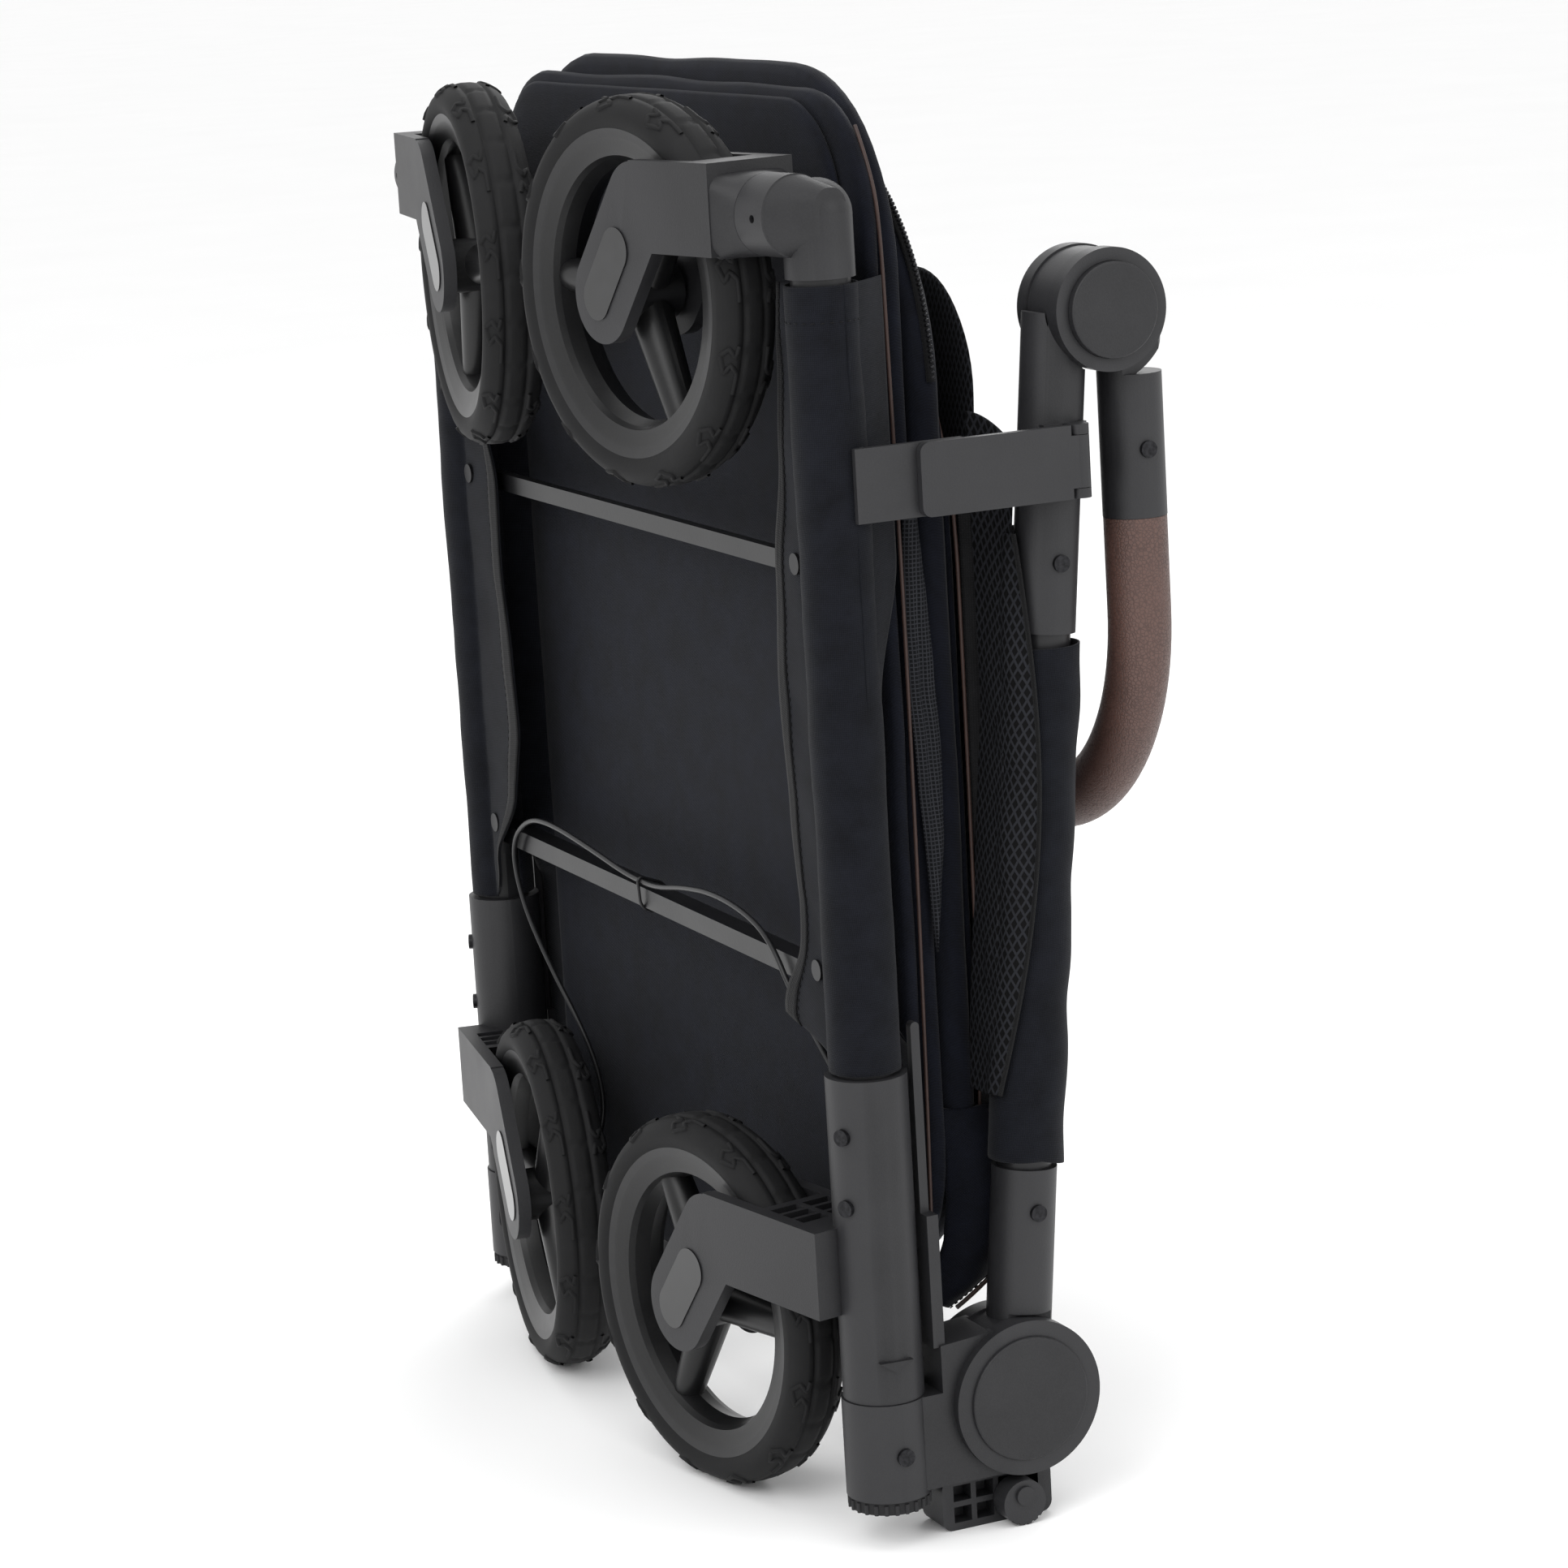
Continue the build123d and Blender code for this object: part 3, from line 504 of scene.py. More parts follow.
def stitches(name, points, pitch, length, radius, finish, body, slot):
    """A row of thread dashes along a line of points, in millimetres."""
    knots, faces = [], []
    carried = 0.0
    for here, after in zip(points, points[1:]):
        here, after = Vector(here), Vector(after)
        step = after - here
        if step.length < 1e-6:
            continue
        along = step.normalized()
        side = along.orthogonal().normalized()
        up = along.cross(side)
        place = carried
        while place + length < step.length:
            base = len(knots)
            for end, size in ((0.0, 0.5), (0.25, 1.0), (0.75, 1.0), (1.0, 0.5)):
                middle = here + along * (place + end * length)
                for k in range(6):
                    turn = k * pi / 3
                    knots.append(middle + (side * cos(turn) + up * sin(turn)) * radius * size)
            for ring in range(3):
                for k in range(6):
                    a, b = base + ring * 6 + k, base + ring * 6 + (k + 1) % 6
                    faces.append((a, b, b + 6, a + 6))
            faces.append(tuple(base + k for k in reversed(range(6))))
            faces.append(tuple(base + 18 + k for k in range(6)))
            place += pitch
        carried = max(0.0, place - step.length)
    return finish_piece(mesh_object(name, knots, faces), finish, body, slot)


def ripple(x, y, z, size, seed):
    """A smooth random value between about -1 and 1, the same on each run."""
    return noise.noise(Vector((x, y, z)) / size + Vector((seed * 7.3, seed * 3.1, seed * 5.7)))


# ---------------------------------------------------------------- tyres

# Half of the tyre's section, as (radius, distance from the middle) in millimetres, bead to crown
TYRE_FLANK = ((80.0, 11.0), (84.0, 15.2), (87.5, 16.7), (91.0, 17.0), (94.2, 15.8), (96.6, 13.2),
              (98.4, 10.0), (99.3, 7.4), (98.3, 6.6), (98.3, 5.6), (99.6, 4.8), (100.0, 2.5),
              (100.0, 0.0))
TREAD_MARKS = 13
# One tread mark: degrees round the wheel, and millimetres down the shoulder from the tread's edge
TREAD_MARK = ((0.0, 1.0), (6.5, 1.0), (9.0, 4.5), (6.0, 7.5), (11.5, 10.5), (14.0, 6.0), (11.5, 2.5),
              (15.0, 1.0))
# Millimetres of shoulder per degree of turn, which makes a mark's two directions comparable
MM_PER_DEGREE = 1.7


def flank_point(depth):
    """Radius and width on the tyre's shoulder, some way down from the tread's edge."""
    line = list(reversed(TYRE_FLANK[:8]))
    for (r0, n0), (r1, n1) in zip(line, line[1:]):
        step = ((r1 - r0) ** 2 + (n1 - n0) ** 2) ** 0.5
        if depth <= step:
            part = depth / step
            return r0 + (r1 - r0) * part, n0 + (n1 - n0) * part
        depth -= step
    return line[-1]


def tyre_mesh(name, centre, axle):
    """A foam tyre about its axle: grooved running band, round shoulders and raised tread marks."""
    side = Vector((0, 0, 1)).cross(axle).normalized()
    up = axle.cross(side)

    def place(radius, offset, turn):
        return centre + axle * offset + (side * cos(turn) + up * sin(turn)) * radius

    points, faces = [], []
    section = list(TYRE_FLANK) + [(r, -n) for r, n in reversed(TYRE_FLANK[:-1])]
    section += [(79.6, -8.0), (79.6, 8.0)]
    rounds = 288
    for k in range(rounds):
        turn = 2 * pi * k / rounds
        notch = 0.9 if (k % 12) < 2 else 0.0
        for r, n in section:
            points.append(place(r - notch if r > 99.5 and 2.0 < abs(n) < 5.0 else r, n, turn))
    deep = len(section)
    for k in range(rounds):
        for j in range(deep):
            a, b = k * deep + j, k * deep + (j + 1) % deep
            c, d = ((k + 1) % rounds) * deep + (j + 1) % deep, ((k + 1) % rounds) * deep + j
            faces.append((a, d, c, b))
    for face_side in (1, -1):
        for mark in range(TREAD_MARKS):
            start = 360.0 / TREAD_MARKS * (mark + (0.0 if face_side > 0 else 0.5))
            ridge(points, faces, place, start, face_side)
    return mesh_object(name, points, faces)


def ridge(points, faces, place, start, face_side):
    """Adds one raised tread mark to a tyre: a low bar with sloped flanks along the mark's outline."""
    path = []
    for (a0, d0), (a1, d1) in zip(TREAD_MARK, TREAD_MARK[1:]):
        for step in range(4):
            path.append((a0 + (a1 - a0) * step / 4, d0 + (d1 - d0) * step / 4))
    path.append(TREAD_MARK[-1])
    base = len(points)
    for k, (angle, depth) in enumerate(path):
        before, after = path[max(k - 1, 0)], path[min(k + 1, len(path) - 1)]
        run = ((after[0] - before[0]) * MM_PER_DEGREE, after[1] - before[1])
        size = max((run[0] ** 2 + run[1] ** 2) ** 0.5, 1e-6)
        across = (-run[1] / size, run[0] / size)
        for reach, rise in ((1.5, -0.4), (0.9, 1.2), (-0.9, 1.2), (-1.5, -0.4)):
            here = angle + across[0] * reach / MM_PER_DEGREE
            radius, width = flank_point(max(depth + across[1] * reach, 0.0))
            lean = 0.5 + 0.5 * min(depth / 10.0, 1.0)
            turn = radians(start + here * face_side)
            points.append(place(radius + rise * (1.3 - lean), (width + rise * lean) * face_side, turn))
    for k in range(len(path) - 1):
        for j in range(3):
            a = base + k * 4 + j
            faces.append((a, a + 1, a + 5, a + 4) if face_side > 0 else (a + 4, a + 5, a + 1, a))


joints = {joint["name"]: joint for joint in frame["joints"]}
for side_name, _ in SIDES:
    for end in ("front", "rear"):
        spin = joints[f"{end}_wheel_spin_{side_name}"]
        hub = Vector(spin["pos_m"]) / MM
        tyre = tyre_mesh(f"moulded_{end}_tyre_{side_name}", hub, Vector(spin["axis"]).normalized())
        finish_piece(
            tyre, finishes["tyre_rubber"], f"{end}_wheel_{side_name}", "tyre_rubber",
            [f"{end}_tyre_{side_name}"],
        )


# ---------------------------------------------------------------- folded cabin


def rounded_ring(half_x, z_low, z_high, corner, inset):
    """Points (x, z) round a rounded rectangle, moved inwards, always the same number of them."""
    hx, low, high = half_x - inset, z_low + inset, z_high - inset
    r = max(corner - inset, 4.0)
    ring = []
    for cx, cz, start in ((hx - r, high - r, 90), (-hx + r, high - r, 180), (-hx + r, low + r, 270),
                          (hx - r, low + r, 360)):
        for k in range(13):
            turn = radians(start - 90 + 90 * k / 12)
            ring.append(Vector((cx + r * cos(turn), cz + r * sin(turn))))
    spread = []
    for here, after in zip(ring, ring[1:] + ring[:1]):
        pieces = max(1, round((after - here).length / 14)) if (after - here).length > 40 else 1
        pieces = 26 if pieces > 1 else 1
        spread += [here.lerp(after, k / pieces) for k in range(pieces)]
    return spread


def folded_layer(name, front, back, half_x, z_low, z_high, corner, seed, finish, body, slot, lean=0.0,
                 waves=1.0, replaces=()):
    """One padded layer of the folded cabin: flat inside, a soft rolled edge all round, and slow creases."""
    thick = back - front
    # The layer's section, from the middle of its front to the middle of its back, as (inset, y)
    section = ((90.0, front + 0.6), (60.0, front + 0.5), (30.0, front + 0.3), (14.0, front),
               (6.0, front + 0.06 * thick),
               (1.6, front + 0.22 * thick), (0.0, front + 0.5 * thick), (1.6, front + 0.78 * thick),
               (6.0, front + 0.94 * thick), (14.0, back), (30.0, back - 0.3), (60.0, back - 0.5),
               (90.0, back - 0.6))
    points, faces, uvs = [], [], []
    for inset, y in section:
        for p in rounded_ring(half_x, z_low, z_high, corner, inset):
            edge = max(0.0, 1.0 - inset / 24.0)
            soft = ripple(p.x, y * 2, p.y, 70.0, seed) * 3.0 * waves * edge
            crease = ripple(p.x * 0.4, y, p.y, 24.0, seed + 4) * 1.0 * waves * edge
            out = Vector((p.x, p.y - (z_low + z_high) / 2)).normalized()
            tilt = lean * (p.y - z_low) / (z_high - z_low)
            shift = ripple(p.x, 0, p.y, 90.0, seed + 9) * 0.9 * waves * edge
            push = (soft + crease) * 0.5
            points.append((p.x + out.x * push, y + tilt + shift, p.y + out.y * push))
            uvs.append((p.x + y - front, p.y + y - front))
    count = len(points) // len(section)
    for k in range(len(section) - 1):
        for i in range(count):
            j = (i + 1) % count
            faces.append((k * count + i, k * count + j, (k + 1) * count + j, (k + 1) * count + i))
    faces.append(tuple(reversed(range(count))))
    faces.append(tuple(range((len(section) - 1) * count, len(section) * count)))
    layer = mesh_object(name, points, faces, uvs)
    finish_piece(layer, finish, body, slot, replaces)
    return layer


floor_low, floor_high = corners("floor_cover")
board_high = corners("floor_board")[1]
walls_low, walls_high = corners("cabin_walls")
canopy_low, canopy_high = corners("canopy_roll")
twill = finishes["twill"]

folded_layer("floor_panel", floor_low.y, board_high.y - 0.2, floor_high.x - 6, floor_low.z,
             floor_high.z - 4, 58, 1, twill, "chassis", "twill", waves=0.25,
             replaces=["floor_cover", "floor_board"])
depth = walls_high.y - walls_low.y
# Each folded wall: where it starts and ends across the pack, how far it stops short at the sides and the
# top, and its corner radius
WALL_LAYERS = (("floor_rim", 0.0, 0.46, 0.0, 11.0, 66.0), ("upper_wall", 0.44, 1.0, 6.0, 1.0, 100.0))
for number, (name, start, stop, narrower, shorter, corner) in enumerate(WALL_LAYERS):
    folded_layer(name, walls_low.y + start * depth, walls_low.y + stop * depth, walls_high.x - narrower,
                 walls_low.z + 6 * number, walls_high.z - shorter, corner, number + 2, twill, "chassis",
                 "twill",
                 replaces=["cabin_walls"] if number == 0 else ())
CANOPY_LAYERS = (("canopy_rim", 0.0, 0.72, 0.0, 0.0, 120.0), ("canopy_back", 0.7, 0.9, 9.0, 46.0, 134.0))
roll = canopy_high.y - canopy_low.y - 4
for number, (name, start, stop, narrower, shorter, corner) in enumerate(CANOPY_LAYERS):
    folded_layer(name, canopy_low.y + start * roll, canopy_low.y + stop * roll, canopy_high.x - narrower,
                 canopy_low.z + 10 * number, canopy_high.z - shorter, corner, number + 6, twill, "chassis",
                 "twill",
                 replaces=["canopy_roll"] if number == 0 else ())


def edge_line(layer_low, layer_high, y, narrower, shorter, corner, z_from, sag):
    """Points along a layer's right edge, from low on the side, round the top corner, to the middle."""
    line = []
    for p in rounded_ring(layer_high.x - narrower, layer_low.z, layer_high.z - shorter, corner, 0.0):
        if p.x > layer_high.x * 0.86 and p.y > z_from:
            line.append((p.x + 0.6, y + sag * sin(pi * (p.y - z_from) / (layer_high.z - z_from)), p.y))
    return sorted(line, key=lambda p: (p[2] - p[0] * 0.6))


for sign, side_name in ((1, "right"), (-1, "left")):
    first = edge_line(walls_low, walls_high, walls_low.y + 0.35 * depth, 0.0, 9.0, 70.0, 150.0, 3.0)
    second = edge_line(canopy_low, canopy_high, canopy_low.y + 0.78 * roll, 4.0, 60.0, 130.0, 190.0, 2.0)
    for name, line in (("floor_piping", first), ("canopy_piping", second)):
        points = [(sign * x, y, z) for x, y, z in line[::3]]
        strand(f"{name}_{side_name}", points, 1.0, piping_leather, "chassis", "twill")


def window_net_piece(sign, side_name):
    """The wrinkled mesh window that shows between two folded walls."""
    y_mid, z_low, z_high = walls_low.y + 0.84 * depth, 300.0, 560.0

    def point(s, t):
        width = 15.0 * sin(pi * t) ** 0.75
        z = z_low + (z_high - z_low) * t
        bulge = 3.0 * sin(pi * s) - 2.6 * max(0.0, cos(3 * pi * (s - 0.5))) * (1 - abs(2 * t - 1))
        x = walls_high.x - 2.5 + bulge + ripple(0, s * 30, z, 26.0, 21) * 1.6
        return sign * x, y_mid + (s - 0.5) * width + 2.0 * sin(2 * pi * t), z

    net, cut = grid(f"window_mesh_{side_name}", point, 16, 70)
    finish_piece(net, window_net, "chassis", "mesh")
    cloth(net, cut)


for sign, side_name in ((1, "right"), (-1, "left")):
    window_net_piece(sign, side_name)


# ---------------------------------------------------------------- zip, lower flap and woven tape


def top_arc(sign):
    """Points over the pack's top and round its corner, where the zip of the canopy runs."""
    line = []
    for p in rounded_ring(canopy_high.x + 1.4, canopy_low.z, canopy_high.z + 1.4, 120.0, 0.0):
        if p.x > -4 and p.y > canopy_high.z - 122:
            line.append((sign * p.x, canopy_low.y + 0.42 * roll, p.y))
    return sorted(line, key=lambda p: p[2] - abs(p[0]) * 0.9)


for sign, side_name in ((1, "right"), (-1, "left")):
    arc = top_arc(sign)
    strand(f"zip_tape_{side_name}", arc[::2], 2.2, tape, "chassis", "canvas")
    raised = [(x * 1.004, y + 0.6, z + 1.4) for x, y, z in arc]
    stitches(f"zip_coil_{side_name}", raised, 2.6, 1.6, 1.5, finishes["rivet_black"], "chassis",
             "rivet_black")

# The canopy's lower flap: its outer edge on the side of the pack, as (y, z) from the pack's front
FLAP_OUTER = ((54.0, 212.0), (63.0, 190.0), (66.5, 168.0), (63.0, 146.0), (49.0, 122.0), (24.0, 108.0))
FLAP_INNER = ((22.0, 214.0), (26.0, 190.0), (26.0, 166.0), (23.0, 144.0), (16.0, 126.0), (8.0, 114.0))


def on_line(line, t):
    """A point part of the way along a line of points."""
    place = min(t * (len(line) - 1), len(line) - 1.000001)
    k = int(place)
    return Vector(line[k]).lerp(Vector(line[k + 1]), place - k)


def lower_flap(sign, side_name):
    """The rolled lower edge of the canopy, a soft crescent with piping on its rim."""
    y_front, x_side = walls_low.y, canopy_high.x - 1

    def point(s, t):
        inner, outer = on_line(FLAP_INNER, t), on_line(FLAP_OUTER, t)
        p = inner.lerp(outer, s)
        puff = 9.0 * sin(pi * min(s * 1.1, 1.0)) * sin(pi * min(max(t, 0.03), 0.97)) ** 0.4
        return sign * (x_side - 5 + puff + ripple(0, p.x, p.y, 14.0, 31) * 1.2), y_front + p.x, p.y

    flap, cut = grid(f"canopy_lower_flap_{side_name}", point, 18, 40)
    thicken(flap, 5.0)
    finish_piece(flap, twill, "chassis", "twill")
    cloth(flap, cut)
    rim = [(sign * (x_side + 0.5), y_front + y + 1.5, z) for y, z in FLAP_OUTER]
    strand(f"lower_flap_piping_{side_name}", rim, 1.2, piping_leather, "chassis", "twill")
    inside = [Vector((sign * (x_side + 3.2), y_front + y - 6, z)) for y, z in FLAP_OUTER]
    stitches(f"lower_flap_stitches_{side_name}", inside, 3.4, 2.2, 0.35, tape, "chassis", "canvas")


def woven_tape(sign, side_name):
    """A wide woven strap along the folded canopy's side."""
    z_low, z_high = 190.0, 545.0

    def point(s, t):
        z = z_low + (z_high - z_low) * t
        y = canopy_high.y - 7 + 13 * s + 4.5 * (t - 0.5)
        x = canopy_high.x - 6 + 2.4 * sin(pi * s) + ripple(0, 0, z, 60.0, 41) * 1.2
        return sign * x, y, z

    strap, cut = grid(f"woven_tape_{side_name}", point, 8, 80)
    thicken(strap, 1.0)
    finish_piece(strap, tape, "chassis", "canvas")
    cloth(strap, cut)


for sign, side_name in ((1, "right"), (-1, "left")):
    lower_flap(sign, side_name)
    woven_tape(sign, side_name)


# ---------------------------------------------------------------- hems on the side tubes

hem_low, hem_high = corners("tube_hems")
tube_low, tube_high = corners("side_tube_right")
TUBE = Vector(((tube_low.x + tube_high.x) / 2, (tube_low.y + tube_high.y) / 2))
HEM_R = hem_high.x - TUBE.x - 0.4
# How far in from the tube's axis each hem's free edge lies, at a height
HEM_EDGES = {
    "right": ((250, 24), (268, 66), (310, 43), (376, 50), (438, 55), (501, 50), (560, 38), (612, 33),
              (646, 29)),
    "left": ((250, 24), (272, 30), (321, 62), (361, 72), (399, 69), (455, 62), (502, 64), (560, 42),
             (646, 29)),
}
# How far the lower corner of each hem's free edge is cut away
HEM_SKIRT = {"right": 18.0, "left": 8.0}


def at_height(line, z):
    """The value of a line of (height, value) points at a height."""
    for (z0, v0), (z1, v1) in zip(line, line[1:]):
        if z <= z1:
            part = max(0.0, min(1.0, (z - z0) / (z1 - z0)))
            part = part * part * (3 - 2 * part)
            return v0 + (v1 - v0) * part
    return line[-1][1]


def hem(sign, side_name):
    """A canvas sleeve round a side tube, with a free flap that reaches inwards."""
    edges = HEM_EDGES[side_name]
    flap_share, start, stop = 0.36, 211.0, 525.0

    def point(s, t):
        skirt = HEM_SKIRT[side_name] * max(0.0, 1 - s / flap_share)
        z = hem_low.z + skirt * (1 - t) + (hem_high.z - hem_low.z) * t
        loose = ripple(s * 40, 0, z, 46.0, 51 + sign) * 1.1 + ripple(s * 70, 0, z, 15.0, 53) * 0.35
        if s < flap_share:
            part = s / flap_share
            reach = at_height(edges, z) * (1 - part) + 16.0 * part
            lift = 3.2 * max(0.0, 1 - abs(z - 285.0) / 45.0) * (1 - part)
            ease = sin(pi * part) * 1.6 * ripple(0, part * 20, z, 34.0, 57)
            return sign * (TUBE.x - reach), TUBE.y - 9.6 - lift + ease - abs(loose) * part, z
        turn = radians(start + (stop - start) * (s - flap_share) / (1 - flap_share))
        r = HEM_R - 0.2 + min(loose, 1.2) * 0.7
        return sign * (TUBE.x + r * cos(turn)), TUBE.y + r * sin(turn), z

    sleeve, cut = grid(f"canvas_hem_{side_name}", point, 84, 150)
    thicken(sleeve, 0.9)
    finish_piece(sleeve, finishes["canvas"], "chassis", "canvas", ["tube_hems"] if sign > 0 else ())

    def binding(s, t):
        x, y, z = point(s * 0.09, t)
        return x, y - 0.9, z

    bound, _ = grid(f"hem_binding_{side_name}", binding, 4, 150)
    thicken(bound, 0.7)
    finish_piece(bound, tape, "chassis", "canvas")
    cloth(sleeve, cut)
    row = [Vector(point(0.1, t / 90)) + Vector((0, -0.8, 0)) for t in range(1, 90)]
    stitches(f"hem_edge_stitches_{side_name}", row, 3.2, 2.2, 0.3, tape, "chassis", "canvas")
    top = []
    for k in range(60):
        p = Vector(point(0.02 + 0.9 * k / 60, 0.955))
        out = Vector((p.x - sign * TUBE.x, p.y - TUBE.y, 0)).normalized() if k > 22 else Vector((0, -1, 0))
        top.append(p + out * 0.8)
    stitches(f"hem_top_stitches_{side_name}", top, 3.2, 2.2, 0.3, tape, "chassis", "canvas")


def outer_web(sign, side_name):
    """The hem's canvas above its waist, from the tube's outside back to the pack's edge."""
    waist = 436.0

    def point(s, t):
        z = waist + (hem_high.z - waist) * t
        reach = min(t / 0.34, 1.0) ** 2 * (3 - 2 * min(t / 0.34, 1.0))
        leave = Vector((HEM_R * cos(radians(12)), HEM_R * sin(radians(12))))
        hug = Vector((HEM_R * cos(radians(70)), HEM_R * sin(radians(70))))
        land = hug.lerp(Vector((walls_high.x - TUBE.x + 1.0, walls_low.y + 0.35 * depth - TUBE.y)), reach)
        p = leave.lerp(land, s)
        bulge = (1.4 + 1.3 * ripple(0, s * 30, z, 48.0, 81)) * sin(pi * s)
        return sign * (TUBE.x + p.x + bulge), TUBE.y + p.y, z

    web, cut = grid(f"hem_outer_web_{side_name}", point, 20, 90)
    thicken(web, 0.9)
    finish_piece(web, finishes["canvas"], "chassis", "canvas")
    cloth(web, cut)


def inner_web(sign, side_name):
    """The canvas from the hem, and below it from behind the bracket, to the floor panel's edge."""
    low, high = 114.0, hem_high.z - 6

    def point(s, t):
        z = low + (high - low) * t
        covered = min(max((z - hem_low.z - 4) / 30.0, 0.0), 1.0)
        behind_bracket = Vector((TUBE.x + 4, TUBE.y + 27))
        start = behind_bracket.lerp(Vector((TUBE.x - HEM_R * 0.8, TUBE.y + HEM_R * 0.55)), covered)
        stop = Vector((floor_high.x - 18, floor_low.y + 4.0))
        p = start.lerp(stop, s)
        return sign * p.x, p.y + (2.0 + 1.5 * ripple(s * 30, 0, z, 40.0, 83)) * sin(pi * s), z

    web, cut = grid(f"hem_inner_web_{side_name}", point, 14, 90)
    thicken(web, 0.9)
    finish_piece(web, finishes["canvas"], "chassis", "canvas")
    cloth(web, cut)


for side_name, sign in SIDES:
    hem(sign, side_name)
    outer_web(sign, side_name)
    inner_web(sign, side_name)


# ---------------------------------------------------------------- back panel and mesh pocket

cover_low, cover_high = corners("upright_cover")
COVER_R = 18.8
pocket_low, pocket_high = corners("mesh_pocket")


def upright_axis_y(z):
    """Where the upright tube's axis is, across the pack, at a height."""
    part = (z - cover_low.z) / (cover_high.z - cover_low.z)
    return cover_low.y + COVER_R + part * (cover_high.y - cover_low.y - 2 * COVER_R)


def back_panel():
    """The canvas panel between the uprights: a sleeve round each tube and a sagging sheet between them."""
    turn_share = 0.3

    def point(s, t):
        side, u = (1, s) if s <= 0.5 else (-1, 1 - s)
        z = cover_low.z + (cover_high.z - cover_low.z) * t
        axis = upright_axis_y(z)
        if u < turn_share:
            part = u / turn_share
            turn = radians(170 - part * 328.5)
            wave = 1.0 + 1.6 * max(0.0, sin(turn)) * (0.5 + 0.5 * sin(z / 9.5 + 1.3 * side))
            fall = 6.0 * max(0.0, sin(turn)) * (1 - t) ** 6
            r = COVER_R - 0.9 + wave * 0.8 + ripple(turn * 6, 0, z, 22.0, 61) * 0.6
            return side * (TUBE.x + r * cos(turn)), axis + r * sin(turn), z - fall
        part = (u - turn_share) / (0.5 - turn_share)
        x = (TUBE.x - COVER_R * 0.93) * (1 - part)
        sag = 2.6 * sin(pi * part / 2) + ripple(x, 0, z, 60.0, 63) * 2.0 * sin(pi * part / 2)
        return side * x, axis - 6.9 + sag * 0.5, z

    panel, cut = grid("canvas_back_panel", point, 200, 90)
    thicken(panel, 0.9)
    finish_piece(panel, finishes["canvas"], "upright", "canvas", ["upright_cover"])
    cloth(panel, cut)


def gathered_mesh(sign, side_name):
    """The limp side of the mesh pocket, gathered round the front of the upright's sleeve."""
    z_low, z_high = pocket_low.z + 6, 512.0

    def point(s, t):
        z = z_low + (z_high - z_low) * t
        spread = 0.45 + 0.55 * sin(pi * min(0.12 + 0.8 * t, 1.0)) ** 0.8
        turn = radians(198 + 138 * s * spread)
        fold = 1.5 * sin(9.0 * s + 3.0 * ripple(0, 0, z, 90.0, 71)) + ripple(s * 60, 0, z, 20.0, 73) * 1.6
        r = COVER_R + 3.4 + fold * (0.25 + 0.75 * sin(pi * s))
        return sign * (TUBE.x + r * cos(turn)), upright_axis_y(z) + r * sin(turn), z

    net, cut = grid(f"gathered_mesh_{side_name}", point, 70, 150)
    thicken(net, 1.0)
    finish_piece(net, finishes["mesh"], "upright", "mesh")
    cloth(net, cut)
    row = [Vector(point(1.0, t / 60)) for t in range(61)]
    strand(f"mesh_edge_binding_{side_name}", row[::4], 1.3, tape, "upright", "canvas")


def pocket_side(sign, side_name):
    """The mesh pocket's side: honeycomb mesh from the upright's sleeve down to the back of the pack."""
    z_low = pocket_low.z + 4

    def point(s, t):
        z_high = 556.0 + 16.0 * sin(pi * s / 2)
        z = z_low + (z_high - z_low) * t
        axis = upright_axis_y(max(z, cover_low.z))
        start = Vector((TUBE.x + 3.0, axis - COVER_R - 2.4))
        stop = Vector((canopy_high.x - 4, min(canopy_high.y + 1.0, axis - COVER_R - 3.0)))
        p = start.lerp(stop, s)
        fold = 1.6 * sin(pi * s) * ripple(s * 20, 0, z, 30.0, 91)
        return sign * (p.x + fold), p.y + fold, z

    net, cut = grid(f"pocket_side_{side_name}", point, 24, 140)
    thicken(net, 1.0)
    finish_piece(net, finishes["mesh"], "upright", "mesh")
    cloth(net, cut)


back_panel()
folded_layer("mesh_pocket_panel", pocket_low.y + 0.6, pocket_low.y + 4.0, pocket_high.x, pocket_low.z,
             pocket_high.z, 62.0, 14, finishes["mesh"], "upright", "mesh", lean=17.0, waves=0.8,
             replaces=["mesh_pocket"])
for side_name, sign in SIDES:
    gathered_mesh(sign, side_name)
    pocket_side(sign, side_name)


# ---------------------------------------------------------------- brake cable

bar_low, bar_high = corners("rear_cross_bar")
tie_low, tie_high = corners("cable_tie")
# The height at which the tie pulls the cable down onto the rear cross bar
TIE_Z = (bar_low.z + bar_high.z) / 2 + 9.0
# The cable's route in millimetres, with the side tubes' axes at y = 0: the left rear wheel's end first
CABLE_ROUTE = (
    (-137.0, 0.8, 111.5), (-146.0, 9.6, 118.0), (-155.0, 17.5, 134.0), (-162.0, 17.5, 156.0),
    (-174.0, 13.5, 180.0), (-195.0, 4.5, 214.0), (-207.0, -5.5, 252.0), (-205.0, -10.5, 288.0),
    (-176.0, -10.5, 308.0), (-138.0, -10.5, 311.6), (-80.0, -9.0, TIE_Z + 7.0),
    (-40.0, -7.5, TIE_Z + 1.5), (-14.5, -6.5, TIE_Z), (12.0, -7.5, TIE_Z + 1.5),
    (50.0, -9.0, TIE_Z + 9.0), (96.0, -10.0, 313.0), (140.0, -9.5, 309.0), (166.0, -9.5, 299.0),
    (185.0, -8.5, 277.0), (199.0, 0.0, 250.0), (207.0, 12.0, 218.0),
)
route = [(x, y + TUBE.y, z) for x, y, z in CABLE_ROUTE]


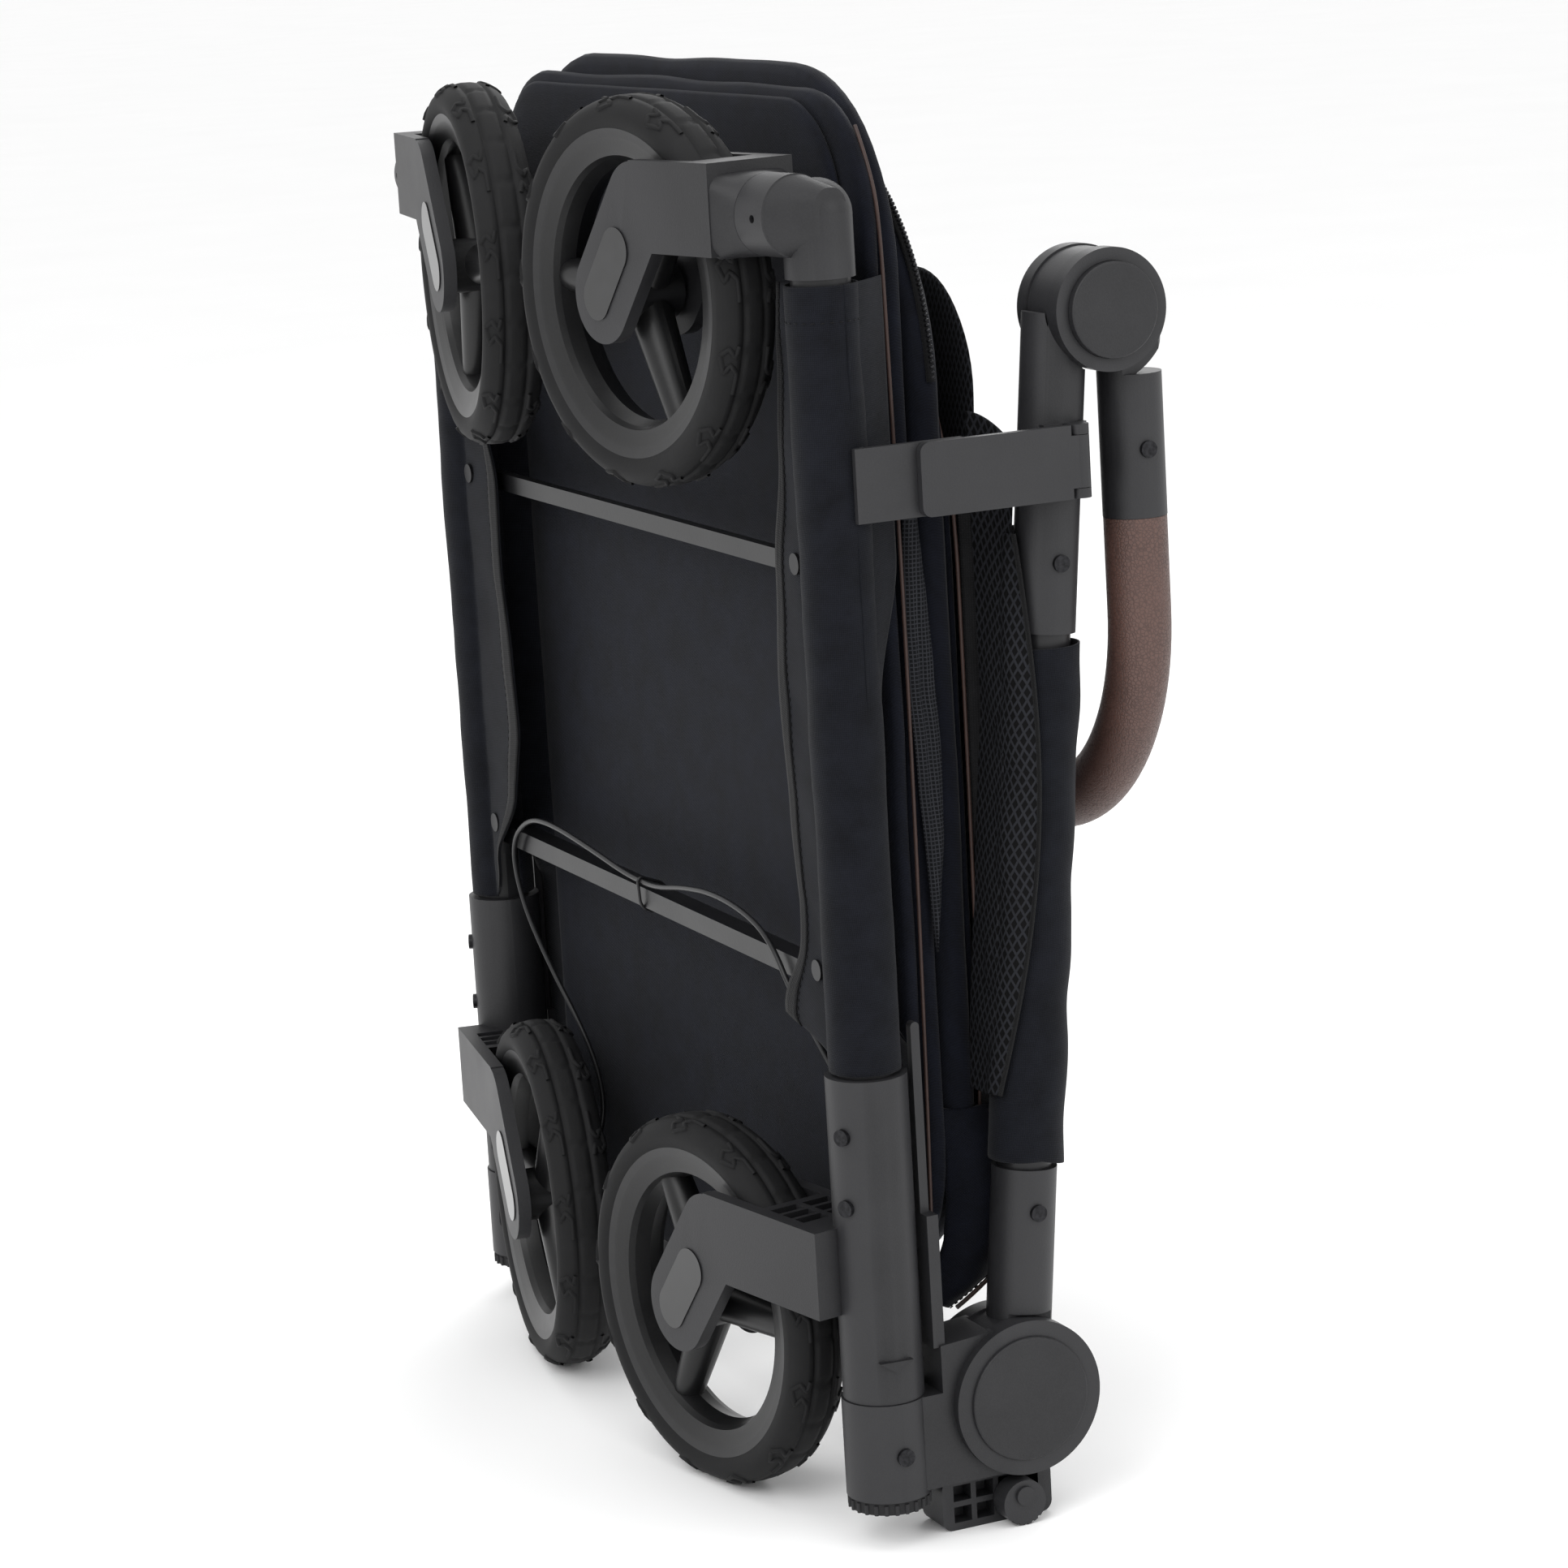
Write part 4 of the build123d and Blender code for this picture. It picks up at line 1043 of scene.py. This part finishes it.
def cord_length(line):
    """The length in millimetres of the smooth cord through control points, summed in short steps."""
    knots = [Vector(p) for p in line]
    ends = [knots[0]] + [a.lerp(b, 0.5) for a, b in zip(knots[1:-2], knots[2:-1])] + [knots[-1]]
    total = 0.0
    for start, bend, stop in zip(ends, knots[1:-1], ends[1:]):
        arc = [start.lerp(bend, k / 24).lerp(bend.lerp(stop, k / 24), k / 24) for k in range(25)]
        total += sum((b - a).length for a, b in zip(arc, arc[1:]))
    return total


cable = strand("brake_cable_sheath", route, 1.5, finishes["cable_sheath"], "chassis", "cable_sheath",
               ["brake_cable"])
[value * MM for value in route[0]]
cord_length(route) * MM


# The radius of the belt round the bar, whose section is about 12 mm square
BELT_R = 8.4


def cable_strap():
    """The tie that holds the cable to the rear cross bar: a snug belt round the two."""
    bar = Vector(((bar_low.y + bar_high.y) / 2, (bar_low.z + bar_high.z) / 2))
    held = Vector((TUBE.y - 6.5, TIE_Z))
    belt = []
    for k in range(49):
        out = Vector((cos(2 * pi * k / 48), sin(2 * pi * k / 48)))
        around_bar, around_cable = bar + out * BELT_R, held + out * 2.4
        y, z = max(around_bar, around_cable, key=lambda p: p.dot(out))
        belt.append(((tie_low.x + tie_high.x) / 2, y, z))
    strand("cable_strap", belt, 0.9, finishes["cable_sheath"], "chassis", "cable_sheath", ["cable_tie"])


cable_strap()


# ---------------------------------------------------------------- stage, light and camera


def area_light(name, at, aim, size, power, colour="ffffff"):
    """A soft box that looks at a point."""
    lamp = bpy.data.lights.new(name, "AREA")
    lamp.shape = "RECTANGLE"
    lamp.size, lamp.size_y = size
    lamp.energy = power
    lamp.color = srgb(colour)[:3]
    holder = bpy.data.objects.new(name, lamp)
    holder.location = at
    holder.rotation_euler = (Vector(aim) - Vector(at)).to_track_quat("-Z", "Y").to_euler()
    bpy.context.scene.collection.objects.link(holder)


def pale_floor():
    """A pale seamless floor, wide enough for every view."""
    material, tree, where = new_material("seamless_paper")
    noise = add(
        tree, "ShaderNodeTexNoise", {"Scale": 3.0, "Detail": 3.0}, {"Vector": where.outputs["Object"]}
    ).outputs["Fac"]
    colour = ramp(tree, noise, ((0.2, "fafafa"), (0.8, "fdfdfd")))
    close_material(tree, {"Roughness": 0.9}, {"Base Color": colour})
    mesh = bpy.data.meshes.new("floor")
    half = 60.0
    outline = [(x * half, y * half, 0.0) for x, y in ((-1, -1), (1, -1), (1, 1), (-1, 1))]
    mesh.from_pydata(outline, [], [(0, 1, 2, 3)])
    mesh.materials.append(material)
    floor = bpy.data.objects.new("floor", mesh)
    bpy.context.scene.collection.objects.link(floor)


def plain_world():
    """An even white surround."""
    world = bpy.data.worlds.new("studio")
    world.use_nodes = True
    background = world.node_tree.nodes["Background"]
    background.inputs["Color"].default_value = srgb("ffffff")
    background.inputs["Strength"].default_value = 1.0
    bpy.context.scene.world = world


# Where the camera stands: it looks at a point inside the folded stroller, from its front right
AIM = Vector((28.3, 6.3, 351.4)) * MM
AZIMUTH, ELEVATION, ROLL = radians(66.074), radians(11.553), radians(-3.427)
DISTANCE = 2.5568
LENS = 107.08


def make_camera():
    """A camera at AZIMUTH and ELEVATION round AIM, rolled by ROLL."""
    back = Vector((sin(AZIMUTH) * cos(ELEVATION), -cos(AZIMUTH) * cos(ELEVATION), sin(ELEVATION)))
    level_right = Vector((cos(AZIMUTH), sin(AZIMUTH), 0.0))
    level_up = back.cross(level_right)
    right = cos(ROLL) * level_right + sin(ROLL) * level_up
    up = back.cross(right)
    data = bpy.data.cameras.new("camera")
    data.lens = LENS
    data.clip_start, data.clip_end = 0.05, 200.0
    camera = bpy.data.objects.new("camera", data)
    place = Matrix((right, up, back)).transposed().to_4x4()
    place.translation = AIM + back * DISTANCE
    camera.matrix_world = place
    bpy.context.scene.collection.objects.link(camera)
    bpy.context.scene.camera = camera


# Plain sRGB, so that the near-black cloth stays dark against the white surround
bpy.context.scene.view_settings.view_transform = "Standard"
make_camera()
pale_floor()
plain_world()
area_light("key", (1.6, -2.4, 2.6), AIM, (2.2, 2.2), 50.0)
area_light("fill", (3.2, 1.6, 1.8), AIM, (2.0, 2.0), 24.0)
area_light("rim", (-2.4, 1.8, 2.4), AIM, (1.6, 1.6), 24.0)
area_light("top", (0.2, 0.2, 3.2), AIM, (2.4, 2.4), 20.0)
